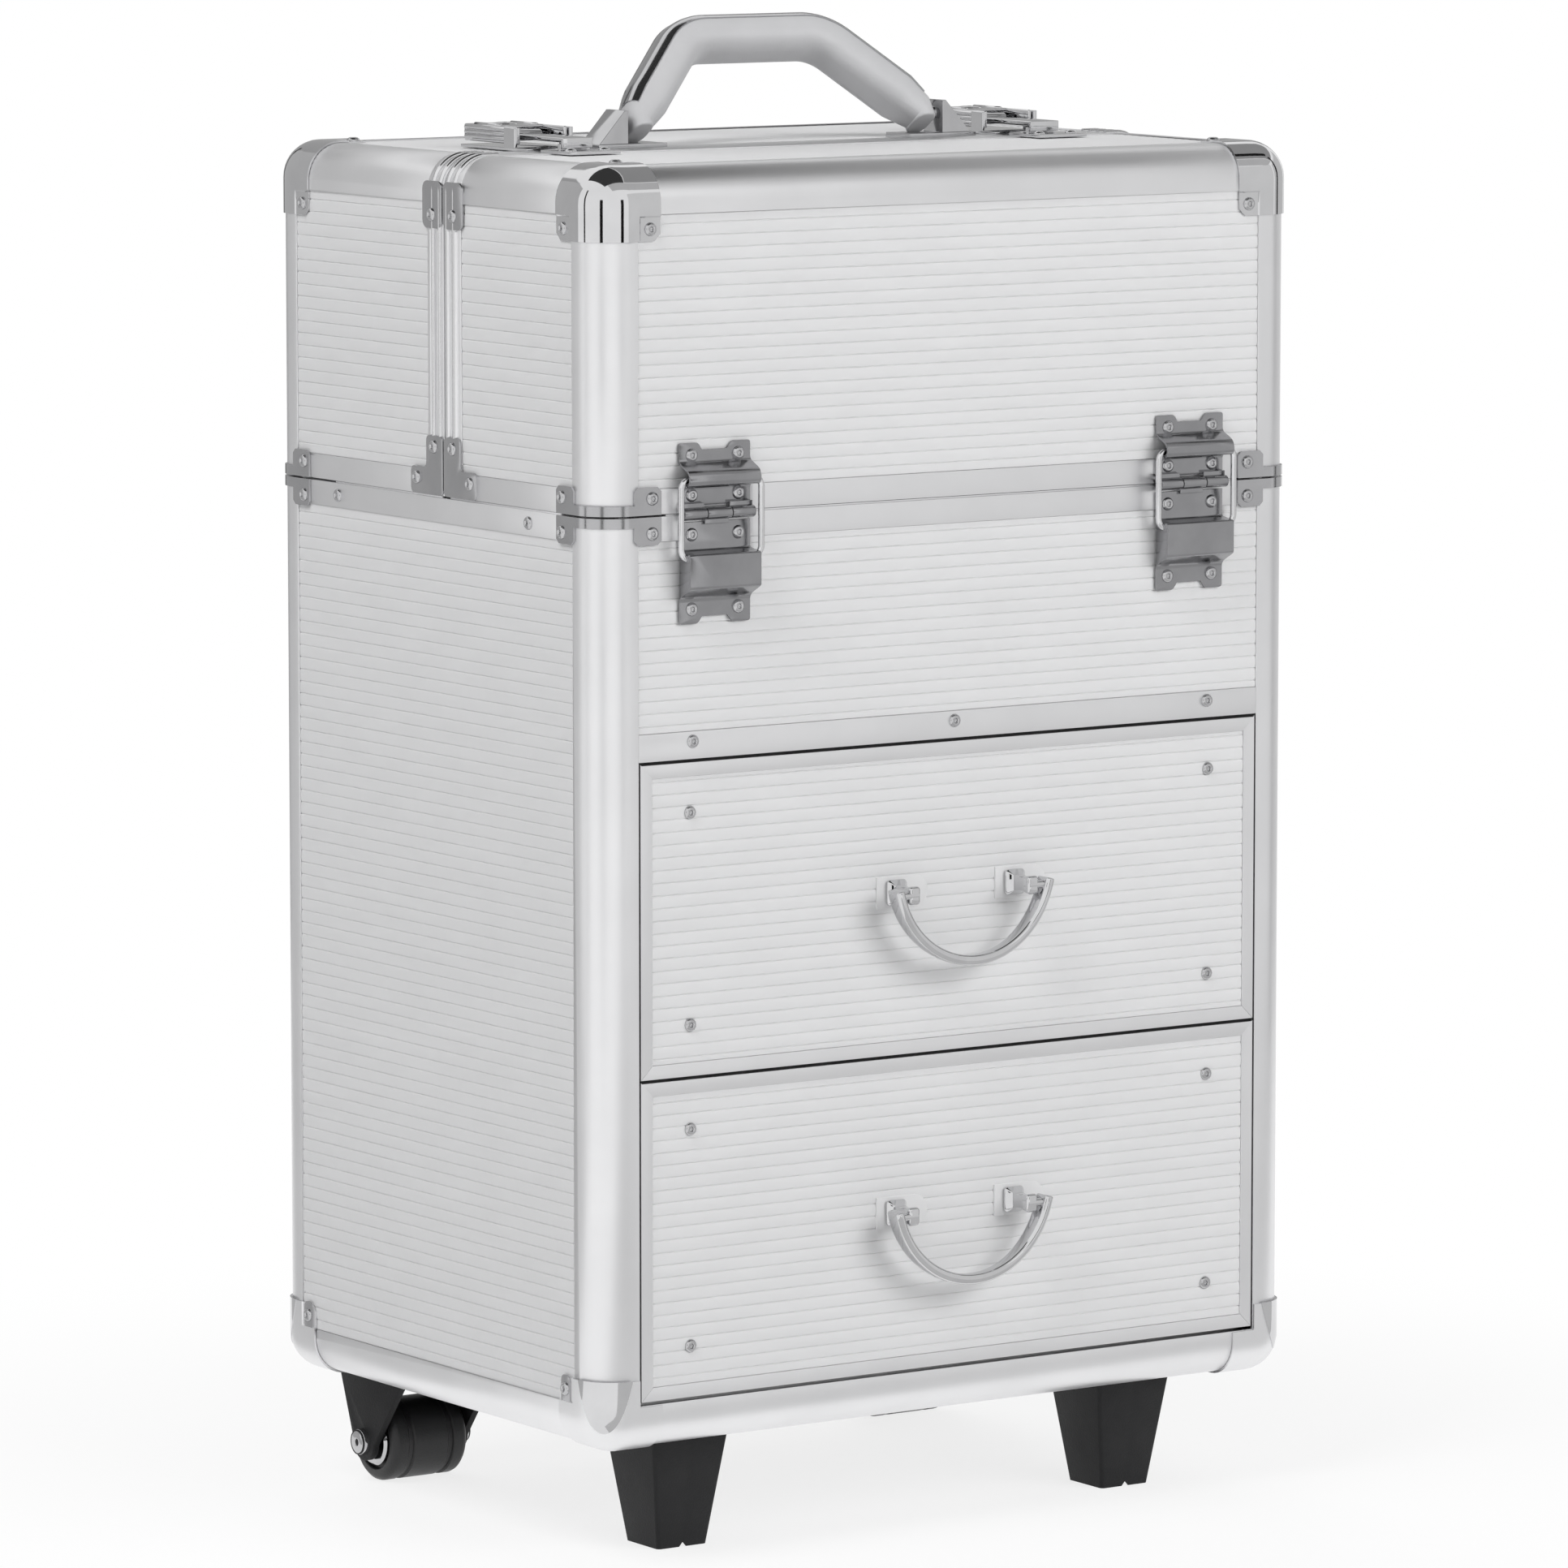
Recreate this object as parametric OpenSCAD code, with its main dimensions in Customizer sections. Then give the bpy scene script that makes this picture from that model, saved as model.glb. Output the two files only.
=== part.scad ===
// Rolling cosmetic case: wheeled body with two drawers, two half lids over
// four lift-out trays, a carry handle and a telescopic pull handle.
// Units mm, floor at z = 0, front toward -Y.

/* [Case] */
// Width of the case across the front
case_w = 340; // [320:1:380]
// Depth of the case from front to rear
case_d = 245; // [240:1:280]
// Height of the case underside above the floor
base_z = 48; // [46:0.5:54]
// Height of the parting line between body and lids
seam_z = 420; // [416:1:440]
// Height of the flat top of the lids
top_z = 556.5; // [550:0.5:580]
// Place of the split between the two lids, front to rear
split_y = -10; // [-14:0.5:-6]
// Gap at the parting line and at the lid split
seam_gap = 0.8; // [0.5:0.1:1.2]

/* [Edge extrusions] */
// Leg width of the edge extrusion
edge_w = 18.75; // [17:0.25:20]
// Outer radius of the edge extrusion
edge_r = 14.5; // [12:0.5:15]
// Wall of the extrusion lips
lip = 1.2; // [1:0.1:1.4]
// Depth at which a board enters its slot, from the outer corner
slot_in = 11.5; // [11:0.1:12]
// Height of the flat strips along the parting line
strip_h = 10; // [9:0.5:11]
// Width of each strip along the lid split
split_w = 12; // [11:0.5:13]

/* [Panels] */
// Thickness of the board panels
panel_t = 5; // [4.6:0.1:5.2]
// Clearance of a board in its slot, each side
slot_c = 0.1; // [0.05:0.05:0.15]
// Thickness of the ribbed skin sheet
skin_t = 0.35; // [0.3:0.05:0.4]
// Height of the ribs on the skin sheet
rib_h = 0.35; // [0.2:0.05:0.4]
// Pitch of the ribs
rib_pitch = 5; // [4:0.5:7]
// Underside of the compartment shelf
shelf_z = 326; // [325:0.5:328]

/* [Corner fittings] */
// Reach of the corner caps from the corner
cap_leg = 29; // [27:0.5:31]
// Sheet thickness of the corner caps
cap_t = 0.9; // [0.7:0.1:1]
// Half height of the corner plates at the parting line
seam_plate_h = 11; // [10.5:0.5:12]
// Rivet head radius
rivet_r = 2.4; // [2:0.1:2.6]
// Rivet head height
rivet_h = 1.3; // [1:0.1:1.6]

/* [Stay hinges] */
// Distance of each hinge's middle from the case side
hinge_in = 54; // [52:0.5:58]
// Width of the hinge leaves
hinge_w = 33.5; // [32:0.5:35]
// Hinge pin distance outside the case face
pin_out = 3; // [2.9:0.05:3.2]
// Hinge pin radius
pin_r = 1.2; // [1:0.05:1.4]
// Hinge knuckle radius
knuckle_r = 2.4; // [2.2:0.05:2.6]
// Running clearance of pins in their bores
run_c = 0.05; // [0.03:0.01:0.1]
// Sheet thickness of the hinge leaves
leaf_t = 0.9; // [0.8:0.05:1]
// Height of the ring channel above the hinge pin
ring_up = 14; // [13.8:0.1:14.2]
// Distance of the ring channel outside the hinge pin
ring_out = 2.5; // [2.3:0.1:2.6]
// Length of the stay ring between its bars
ring_len = 31.6; // [31.2:0.1:32]
// Wire radius of the stay ring
wire_r = 1.3; // [1.1:0.05:1.35]
// Half width of the stay ring to its wire centre
ring_half = 18.9; // [18.7:0.1:19.5]

/* [Drawers] */
// Height of the lower drawer's bottom edge
drawer_z = 68; // [67.8:0.1:69]
// Height of the gap between the drawers
drawer_split = 196.4; // [194:0.2:199]
// Height of the rail strip's lower edge above the drawers
rail_z = 323; // [322.5:0.1:323.5]
// Gap around each drawer front
drawer_gap = 0.7; // [0.5:0.05:0.8]
// Border width of the drawer front frame
frame_w = 5.5; // [5:0.25:7]
// Space between the case side and the drawer boxes
box_side = 32; // [31.5:0.5:36]
// Drawer front rivets, distance from the case side
front_rivet = 43; // [40:0.5:46]
// Drawer front rivets, distance from the drawer's upper and lower edge
front_rivet_z = 20.5; // [18:0.5:24]
// Wall thickness of the drawer boxes
box_t = 5; // [4:0.5:6]
// Clearance of the drawer rails in their runners
rail_c = 0.5; // [0.4:0.05:0.7]
// Forward and rear reach of the fittings beyond the case faces
reach = 16.5; // [16.3:0.1:17.5]
// Half distance between the pull posts
pull_x = 29; // [27:0.5:31]
// Drop of the pull bail below its pivots
pull_drop = 28; // [26:0.5:30]
// Section radius of the pull bail
pull_r = 3.3; // [3:0.1:3.4]

/* [Wheels and feet] */
// Wheel radius
wheel_r = 17; // [17:0.5:18]
// Wheel tread width
wheel_w = 38; // [36:0.5:39]
// Wheel centre from the case side
wheel_in = 46; // [45:0.5:49]
// Wheel axle from the case rear
wheel_back = 28.5; // [26.5:0.5:32.5]
// Axle radius
axle_r = 4; // [3.5:0.1:4.5]
// Foot centre from the case side
foot_side = 60; // [52:1:64]
// Foot front face behind the case front
foot_in = 26; // [22:1:32]
// Foot width at the top
foot_top = 36; // [34:0.5:38]
// Foot width at the floor
foot_bot = 23.5; // [22:0.5:26]

/* [Carry handle] */
// Handle pivot from the case centre line, rearward
grip_y = 4; // [3:0.5:6]
// Rest angle of the handle, leaning to the rear
grip_lean = 34; // [0:1:40]
// Height of the handle pivots above the top
grip_pivot = 9.5; // [9:0.1:10]
// Half span of the handle legs at the pivot height
grip_half = 70; // [66:0.5:73]
// Height of the upright handle's top above the case top
grip_up = 56; // [52:0.5:58]
// Grip section height
grip_t = 17; // [15:0.5:18]
// Grip section width
grip_w = 20; // [18:0.5:21]
// Slope of the grip's legs
grip_slope = 46; // [44:0.5:50]

/* [Latches] */
// Latch distance from the case centre line
latch_x = 115; // [114:0.5:117]
// Latch lever half width
latch_half = 12; // [11.5:0.1:12.3]
// Arm between the lever pivot and the claw pivot
latch_arm = 10; // [9:0.5:11]

/* [Trays] */
// Packing between the case wall and the tray brackets
tray_pad = 5.7; // [5:0.1:8]
// Thickness of the tray brackets
brk_t = 3; // [2.5:0.1:3.5]
// Gap between the tray brackets and the upper arms
brk_c = 0.8; // [0.6:0.1:1]
// Gap between the upper and the lower arms
arm_c = 1.2; // [1:0.1:1.5]
// Gap between the lower arms and the tray ends
tray_c = 2; // [1.8:0.1:3]
// Upper tray, inward from the hinge pin
up_tray_y = 16; // [15:0.5:18]
// Upper tray depth
up_tray_d = 90; // [84:1:91]
// Upper tray, upward from the hinge pin
up_tray_z = 56; // [54:0.5:58]
// Upper tray height
up_tray_h = 44; // [38:1:46]
// Lower tray, inward from the hinge pin
lo_tray_y = 26; // [25:0.5:28]
// Lower tray depth
lo_tray_d = 82; // [76:1:83]
// Lower tray, upward from the hinge pin
lo_tray_z = 12; // [10:0.5:13]
// Lower tray height
lo_tray_h = 32; // [28:1:34]
// Wall thickness of the trays
tray_t = 2; // [1.6:0.1:2.4]
// Clearance of the lid studs in the tray holes
stud_c = 0.3; // [0.2:0.05:0.4]
// Lid stud and arm pin radius
stud_r = 2; // [1.8:0.05:2.1]
// Width of the flat tray arms
arm_w = 6; // [5.6:0.1:6.2]

/* [Pull handle] */
// Half distance between the telescopic tubes
tube_x = 62; // [56:1:66]
// Outer tube radius
tube_r = 7; // [6.8:0.1:7.2]
// Inner tube radius
tube_in = 5.8; // [5.6:0.05:6]
// Height of the pull grip's top when stowed
pull_top = 411; // [405:0.5:412]
// Height of the pull grip bar
pull_h = 14; // [12:0.5:16]
// Reach of the pull grip beyond the tube centre lines
pull_side = 9; // [8:0.5:11]
// Lower ends of the inner tubes above those of the outer tubes
tube_step = 12; // [8:1:16]
// Height of the outer tubes' lower ends
tube_z = 84; // [80:1:90]
// Floor of the lowest tube clamp below the tubes
clamp_foot = 6; // [5:0.5:7]
// Height of each tube clamp
clamp_h = 24; // [20:1:28]
// Reach of the tube clamps beyond the tube centre lines
clamp_side = 16; // [14:0.5:18]
// Height of the middle tube clamp
clamp_mid = 210; // [190:5:230]
// Top tube clamp below the pull grip's top
clamp_drop = 70; // [66:1:76]

/* [Hidden] */
$fn = 48;
hw = case_w / 2;
hd = case_d / 2;
lid_z = seam_z + seam_gap / 2;
body_z = seam_z - seam_gap / 2;
prof_in = 2 * lip + panel_t + 2 * slot_c;
board_o = lip + slot_c;
skin_o = board_o - skin_t - rib_h;
front_dep = hd + split_y - seam_gap / 2;
rear_dep = hd - split_y - seam_gap / 2;
pull_o = reach - pull_r;
tube_o = reach - tube_r - 2;
fit = 0.1;
hinge_x = hw - hinge_in;
wheel_y = hd - wheel_back;
wheel_x = hw - wheel_in;
foot_x = hw - foot_side;
box_half = hw - box_side;
grip_end = grip_half + 7.2;
band_h = 4;
// Butt joint between neighbouring lengths of edging
joint = 0.05;
// Tray linkage points measured inward and upward from the lid hinge pin
up_pivot = [66, 64];
lo_pivot = [36, 32];
up_foot = [24, 10];
lo_foot = [48, -12];
// Sideways planes of the tray arms and their brackets
arm_t = 2;
brk_x = hw - board_o - panel_t - tray_pad - brk_t;
up_x = brk_x - brk_c - arm_t;
lo_x = up_x - arm_c - arm_t;
tray_half = lo_x - tray_c;

// Rear fittings repeat the front ones turned half round
module rear() {
  rotate([0, 0, 180]) children();
}

// Left and right copies
module pair() {
  children();
  mirror([1, 0, 0]) children();
}

// Section given outward and upward, run along X about the centre
module run_x(len) {
  rotate([90, 0, 90]) linear_extrude(len, center = true) children();
}

// L section of the edge extrusion, outer corner at the origin
module edge_section() {
  difference() {
    intersection() {
      union() {
        translate([edge_r, edge_r]) circle(edge_r);
        translate([edge_r, 0]) square([edge_w - edge_r, edge_w]);
        translate([0, edge_r]) square([edge_w, edge_w - edge_r]);
      }
      square(edge_w);
    }
    translate([prof_in, prof_in]) square(2 * edge_w);
    translate([lip, slot_in]) square([panel_t + 2 * slot_c, edge_w]);
    translate([slot_in, lip]) square([edge_w, panel_t + 2 * slot_c]);
  }
}

// Channel section that caps a board edge, edge at the origin, legs along +Y
module strip_section(h) {
  difference() {
    square([prof_in, h]);
    translate([lip, lip]) square([panel_t + 2 * slot_c, h]);
  }
}

// Solid with one rounded outer corner at the origin
module corner_solid(r, s) {
  translate([r, r, r]) sphere(r);
  translate([r, r, r]) cylinder(r = r, h = s - r);
  translate([r, r, r]) rotate([0, 90, 0]) cylinder(r = r, h = s - r);
  translate([r, r, r]) rotate([-90, 0, 0]) cylinder(r = r, h = s - r);
  translate([r, r, 0]) cube([s - r, s - r, s]);
  translate([r, 0, r]) cube([s - r, s, s - r]);
  translate([0, r, r]) cube([s, s - r, s - r]);
}

// Corner cap with its riveted tabs, outer corner of the case at the origin;
// beside the drawers the front face stays clear of the drawer opening
module corner_cap(clear = false) {
  tab = cap_leg - edge_w - fit;
  difference() {
    intersection() {
      translate([-cap_t, -cap_t, -cap_t]) corner_solid(edge_r + cap_t, 2 * cap_leg);
      translate([-cap_t, -cap_t, -cap_t]) cube(cap_leg + cap_t);
    }
    corner_solid(edge_r, 2 * cap_leg);
    if (clear) translate([edge_w - 0.4, -9, edge_w - 0.4]) cube([cap_leg, 18, cap_leg]);
  }
  translate([-cap_t, edge_w + fit, edge_w + fit]) cube([cap_t + skin_o, tab, tab]);
  if (!clear) translate([edge_w + fit, -cap_t, edge_w + fit]) cube([tab, cap_t + skin_o, tab]);
  translate([edge_w + fit, edge_w + fit, -cap_t]) cube([tab, tab, cap_t + skin_o]);
}

// Band round a vertical corner at the parting line with a riveted tab each side
module seam_corner(h) {
  linear_extrude(h) difference() {
    intersection() {
      union() {
        translate([edge_r, edge_r]) circle(edge_r + cap_t);
        translate([edge_r, -cap_t]) square([cap_leg, cap_leg]);
        translate([-cap_t, edge_r]) square([cap_leg, cap_leg]);
      }
      translate([-cap_t, -cap_t]) square(cap_leg + cap_t);
    }
    translate([edge_r, edge_r]) circle(edge_r);
    translate([edge_r, 0]) square(2 * cap_leg);
    translate([0, edge_r]) square(2 * cap_leg);
  }
}

// Corner plate at the parting line: thin band low down, taller tabs beside the post
module seam_plate() {
  seam_corner(band_h);
  translate([edge_r + 2, -cap_t, band_h]) cube([cap_leg - edge_r - 2, cap_t, seam_plate_h - band_h]);
  translate([-cap_t, edge_r + 2, band_h]) cube([cap_t, cap_leg - edge_r - 2, seam_plate_h - band_h]);
}

// Rivet head standing toward -Y
module rivet() {
  rotate([90, 0, 0]) rotate_extrude()
    polygon([[0, 0], [rivet_r, 0], [rivet_r, 0.35 * rivet_h],
      [0.6 * rivet_r, 0.9 * rivet_h], [0, rivet_h]]);
}

// Ribbed sheet standing on the XZ plane, ribs toward -Y
module ribbed(w, h) {
  n = floor((h - 3) / rib_pitch);
  z0 = (h - n * rib_pitch) / 2;
  run_x(w) polygon(concat([[0, h], [0, 0], [-skin_t, 0]],
    [for (i = [0:n - 1], k = [0:3])
      [-skin_t - ((k == 1 || k == 2) ? rib_h : 0),
        z0 + (i + 0.5) * rib_pitch + [-1.3, -0.6, 0.6, 1.3][k]]],
    [[-skin_t, h]]));
}

// Boards of the body: sides, rear, bottom, front apron and shelf
module case_panels() color("silver") {
  side_d = case_d - 2 * (slot_in + fit);
  side_h = body_z - lip - slot_c - base_z - slot_in - fit;
  pair() translate([hw - board_o - panel_t, -side_d / 2, base_z + slot_in + fit])
    cube([panel_t, side_d, side_h]);
  wide = case_w - 2 * (slot_in + fit);
  translate([-wide / 2, hd - board_o - panel_t, base_z + slot_in + fit])
    cube([wide, panel_t, side_h]);
  translate([-wide / 2, -side_d / 2, base_z + board_o]) cube([wide, side_d, panel_t]);
  translate([-wide / 2, -hd + board_o, rail_z + lip + slot_c])
    cube([wide, panel_t, body_z - rail_z - 2 * (lip + slot_c)]);
  translate([-hw + prof_in, -hd + prof_in, shelf_z])
    cube([case_w - 2 * prof_in, case_d - 2 * prof_in, panel_t]);
}

// Ribbed sheets bonded to the boards of the body
module case_skins() color("gainsboro") {
  z0 = base_z + edge_w + fit;
  h = body_z - strip_h - fit - z0;
  side_d = case_d - 2 * (edge_w + fit);
  wide = case_w - 2 * (edge_w + fit);
  translate([-hw + board_o, 0, z0]) rotate([0, 0, -90]) ribbed(side_d, h);
  translate([hw - board_o, 0, z0]) rotate([0, 0, 90]) ribbed(side_d, h);
  translate([0, hd - board_o, z0]) rotate([0, 0, 180]) ribbed(wide, h);
  az = rail_z + 11 + fit;
  translate([0, -hd + board_o, az]) ribbed(wide, body_z - strip_h - fit - az);
}

// Corner extrusions, bottom extrusions and edge strips of the body
module case_edges() color("silver") {
  for (a = [0, 180]) rotate([0, 0, a]) {
    translate([-hw, -hd, base_z + edge_w]) linear_extrude(body_z - base_z - edge_w)
      edge_section();
    translate([hw, -hd, base_z + edge_w]) linear_extrude(body_z - base_z - edge_w)
      mirror([1, 0]) edge_section();
    translate([0, -hd, base_z]) run_x(case_w - 2 * edge_w) edge_section();
    translate([hw, 0, base_z]) rotate([0, 0, 90]) run_x(case_d - 2 * edge_w) edge_section();
    translate([0, -hd, body_z]) run_x(case_w - 2 * edge_w - 2 * joint)
      mirror([0, 1]) strip_section(strip_h);
    translate([hw, 0, body_z]) rotate([0, 0, 90]) run_x(case_d - 2 * edge_w - 2 * joint)
      mirror([0, 1]) strip_section(strip_h);
  }
  translate([0, -hd, rail_z]) run_x(case_w - 2 * edge_w - 2 * joint) strip_section(11);
}

// Bottom corner caps and the corner plates below the parting line
module case_caps() color("lightgray") {
  for (a = [0, 180]) rotate([0, 0, a]) pair() {
    translate([-hw, -hd, base_z]) corner_cap(a == 0);
    translate([-hw, -hd, body_z]) mirror([0, 0, 1]) seam_plate();
  }
}

// Rivet heads on the body
module case_rivets() color("lightgray") {
  for (a = [0, 180]) rotate([0, 0, a]) pair() {
    translate([-hw + 24.6, -hd - cap_t, body_z - 6.5]) rivet();
    translate([-hw - cap_t, -hd + 25, body_z - 6.5]) rotate([0, 0, -90]) rivet();
    if (a > 0) translate([-hw + 24.2, -hd - cap_t, base_z + 24.2]) rivet();
    translate([-hw - cap_t, -hd + 24.2, base_z + 24.2]) rotate([0, 0, -90]) rivet();
    translate([-hw, 72, body_z - 5]) rotate([0, 0, -90]) rivet();
  }
  for (x = [-1, 0, 1]) translate([x * 126, -hd, rail_z + 7]) rivet();
}

// Two tapered front feet with their base flanges
module front_feet() color("black") {
  h = base_z - 3;
  pair() translate([foot_x, -hd + foot_in + foot_top / 2, 0]) {
    intersection() {
      rotate([90, 0, 0]) linear_extrude(2 * foot_top, center = true) foot_face(h);
      rotate([90, 0, 90]) linear_extrude(2 * foot_top, center = true) foot_face(h);
    }
    translate([-foot_top / 2 - 9, -foot_top / 2, h]) cube([foot_top + 18, foot_top, 3 + board_o]);
  }
}

// Tapered outline of a foot
module foot_face(h) {
  polygon([[-foot_bot / 2, 0], [foot_bot / 2, 0], [foot_top / 2, h], [-foot_top / 2, h]]);
}

// Wheel brackets: base plate, two V cheeks, axle and bolt heads
module wheel_brackets() color("dimgray") {
  pair() translate([wheel_x, wheel_y, 0]) {
    span = wheel_w / 2 + 1.2;
    pad = hw - cap_leg - 0.5 - wheel_x + span + 3;
    cheek_z = base_z - 3.2 - joint;
    translate([-span - 3, -30, base_z - 3.2]) cube([2 * span + 6, 48, 2]);
    translate([-span - 3, -30, base_z - 1.4])
      cube([pad, hd - edge_w - wheel_y + 29.5, 1.4 + board_o]);
    for (s = [-1, 1]) translate([s * (span + 1.5), 0, 0])
      rotate([90, 0, 90]) linear_extrude(3, center = true) difference() {
        union() {
          polygon([[-30, cheek_z], [18, cheek_z], [axle_r + 3, wheel_r - 2],
            [-axle_r - 3, wheel_r - 2]]);
          translate([0, wheel_r]) circle(axle_r + 4);
        }
        translate([0, wheel_r]) circle(axle_r + joint);
      }
    translate([0, 0, wheel_r]) rotate([0, 90, 0])
      cylinder(r = axle_r, h = 2 * span + 9, center = true);
    for (s = [-1, 1]) translate([s * (span + 4.5 + joint), 0, wheel_r]) rotate([0, 90, 0])
      cylinder(r = axle_r + 1.2, h = 3, center = true);
  }
}

// Wooden battens and steel channels that carry the drawers
module drawer_runners() color("tan") {
  for (zc = [runner_z(0), runner_z(1)]) pair() {
    translate([box_half + 9, -hd + edge_w + 2, zc - 12])
      cube([hw - board_o - panel_t - box_half - 9, case_d - 2 * edge_w - 4, 24]);
    difference() {
      translate([box_half + 1, -hd + edge_w + 2, zc - 6])
        cube([8, case_d - 2 * edge_w - 4, 12]);
      translate([box_half, -hd, zc - 4 - rail_c]) cube([7.5, case_d, 8 + 2 * rail_c]);
    }
  }
}

function runner_z(k) = k == 0 ? (drawer_z + drawer_split) / 2 - 15
  : (drawer_split + rail_z) / 2 - 15;

// Body leaf of a stay hinge with its centre knuckle and pin, pin level at z = 0
module body_leaf() {
  y0 = -pin_out;
  box_o = pin_out + ring_out + wire_r + 1.8;
  difference() {
    union() {
      run_x(hinge_w) polygon([[0, -3.2], [-leaf_t, -3.2], [-leaf_t, -15],
        [-box_o - leaf_t, -15], [-box_o - leaf_t, -33.2], [-leaf_t, -33.2],
        [-leaf_t, -43.5], [skin_o, -43.5], [skin_o, -32.3], [-box_o, -32.3],
        [-box_o, -15 - leaf_t], [0, -15 - leaf_t]]);
      translate([0, y0, 0]) rotate([0, 90, 0]) cylinder(r = knuckle_r, h = 11.4, center = true);
      translate([-5.7, y0, -4]) cube([11.4, pin_out, 3]);
    }
    translate([0, 0, -44.5]) cube([8, 20, 4], center = true);
  }
  translate([0, y0, 0]) rotate([0, 90, 0]) cylinder(r = pin_r, h = hinge_w + 1, center = true);
  for (x = [-11, 11]) {
    translate([x, -leaf_t, -8.2]) rivet();
    translate([x, -leaf_t, -37.6]) rivet();
  }
}

// Body leaves of the four stay hinges
module body_leaves() color("silver") {
  for (a = [0, 180]) rotate([0, 0, a]) pair() translate([hinge_x, -hd, seam_z]) body_leaf();
}

// Brackets inside the body that carry the tray arms
module tray_brackets() color("gray") {
  for (a = [0, 180]) rotate([0, 0, a]) pair() translate([0, -hd - pin_out, seam_z]) {
    translate([brk_x, up_foot[0] - 7, -26]) cube([brk_t, lo_foot[0] - up_foot[0] + 14, 20]);
    translate([brk_x, up_foot[0] - 6, -10]) cube([brk_t, 12, up_foot[1] + 16]);
    translate([brk_x + brk_t, edge_w + pin_out + 1, -26])
      cube([tray_pad, lo_foot[0] + 6 - edge_w - pin_out, 14]);
    translate([up_x - 0.3, up_foot[0], up_foot[1]]) rotate([0, 90, 0])
      cylinder(r = stud_r, h = brk_x - up_x + 1);
    translate([lo_x - 0.3, lo_foot[0], lo_foot[1]]) rotate([0, 90, 0])
      cylinder(r = stud_r, h = brk_x - lo_x + 1);
  }
}

// Outer tubes of the telescopic pull handle
module pull_tubes() color("silver") {
  pair() translate([tube_x, hd + tube_o, tube_z]) difference() {
    cylinder(r = tube_r, h = pull_top - pull_h - 1 - tube_z);
    translate([0, 0, 3]) cylinder(r = tube_in + fit, h = pull_top);
  }
}

// Rear brackets that hold the outer tubes on the rear panel
module pull_brackets() color("dimgray") {
  for (z = [tube_z - clamp_foot, clamp_mid, pull_top - clamp_drop]) difference() {
    translate([-tube_x - clamp_side, hd - skin_o, z])
      cube([2 * (tube_x + clamp_side), reach + skin_o, clamp_h]);
    pair() translate([tube_x, hd + tube_o, z < tube_z ? tube_z : z - 1])
      cylinder(r = tube_r, h = clamp_h + clamp_foot);
    translate([-tube_x + clamp_side - 3, hd + 4, z - 1])
      cube([2 * (tube_x - clamp_side + 3), reach, clamp_h + 2]);
  }
}

// Boards of a lid: outer wall, two side walls and top
module lid_panels(dep) {
  z0 = lid_z + lip + slot_c;
  h = top_z - slot_in - fit - z0;
  wide = case_w - 2 * (slot_in + fit);
  deep = dep - slot_in - fit - lip - slot_c;
  translate([-wide / 2, -hd + board_o, z0]) cube([wide, panel_t, h]);
  pair() translate([hw - board_o - panel_t, -hd + slot_in + fit, z0])
    cube([panel_t, deep, top_z - edge_r - fit - z0]);
  translate([-hw + edge_r + fit, -hd + slot_in + fit, top_z - board_o - panel_t])
    cube([case_w - 2 * (edge_r + fit), deep, panel_t]);
}

// Ribbed sheets of a lid
module lid_skins(dep) {
  z0 = lid_z + strip_h + fit;
  h = top_z - edge_w - fit - z0;
  wide = case_w - 2 * (edge_w + fit);
  deep = dep - edge_w - split_w - 2 * fit;
  yc = -hd + edge_w + fit + deep / 2;
  translate([0, -hd + board_o, z0]) ribbed(wide, h);
  translate([-hw + board_o, yc, z0]) rotate([0, 0, -90]) ribbed(deep, h);
  translate([hw - board_o, yc, z0]) rotate([0, 0, 90]) ribbed(deep, h);
  translate([0, yc - deep / 2, top_z - board_o]) rotate([-90, 0, 0]) ribbed(wide, deep);
}

// Extrusions and strips of a lid
module lid_edges(dep) {
  ys = -hd + dep;
  pair() {
    translate([-hw, -hd, lid_z]) linear_extrude(top_z - edge_w - lid_z) edge_section();
    translate([-hw, -hd + edge_w, top_z]) rotate([-90, 0, 0])
      linear_extrude(dep - edge_w - split_w - joint) edge_section();
    translate([-hw, ys - split_w - joint, lid_z]) rotate([90, 0, 0])
      linear_extrude(dep - edge_w - split_w - 2 * joint) strip_section(strip_h);
    split_strip(ys);
  }
  translate([0, -hd, top_z]) run_x(case_w - 2 * edge_w) mirror([0, 1]) edge_section();
  translate([0, -hd, lid_z]) run_x(case_w - 2 * edge_w - 2 * joint) strip_section(strip_h);
  translate([0, ys, top_z]) rotate([-90, 0, 0]) run_x(case_w - 2 * edge_r - 2 * joint)
    mirror([0, 1]) strip_section(split_w);
}

// Double-bead strip along the lid split on the left side, over the top rounding
module split_strip(ys) {
  translate([-hw, ys, lid_z]) linear_extrude(top_z - edge_r - lid_z - joint) mirror([0, 1])
    strip_section(split_w);
  translate([-hw + edge_r, ys, top_z - edge_r]) rotate([90, 0, 0]) rotate([0, 0, 90])
    rotate_extrude(angle = 90) translate([edge_r, 0]) mirror([1, 0]) strip_section(split_w);
  for (k = [0.27, 0.73]) translate([-hw, ys - k * split_w, lid_z + 24.2])
    cylinder(r = 1.1, h = top_z - edge_w - 11 - lid_z - 24.2);
}

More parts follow.
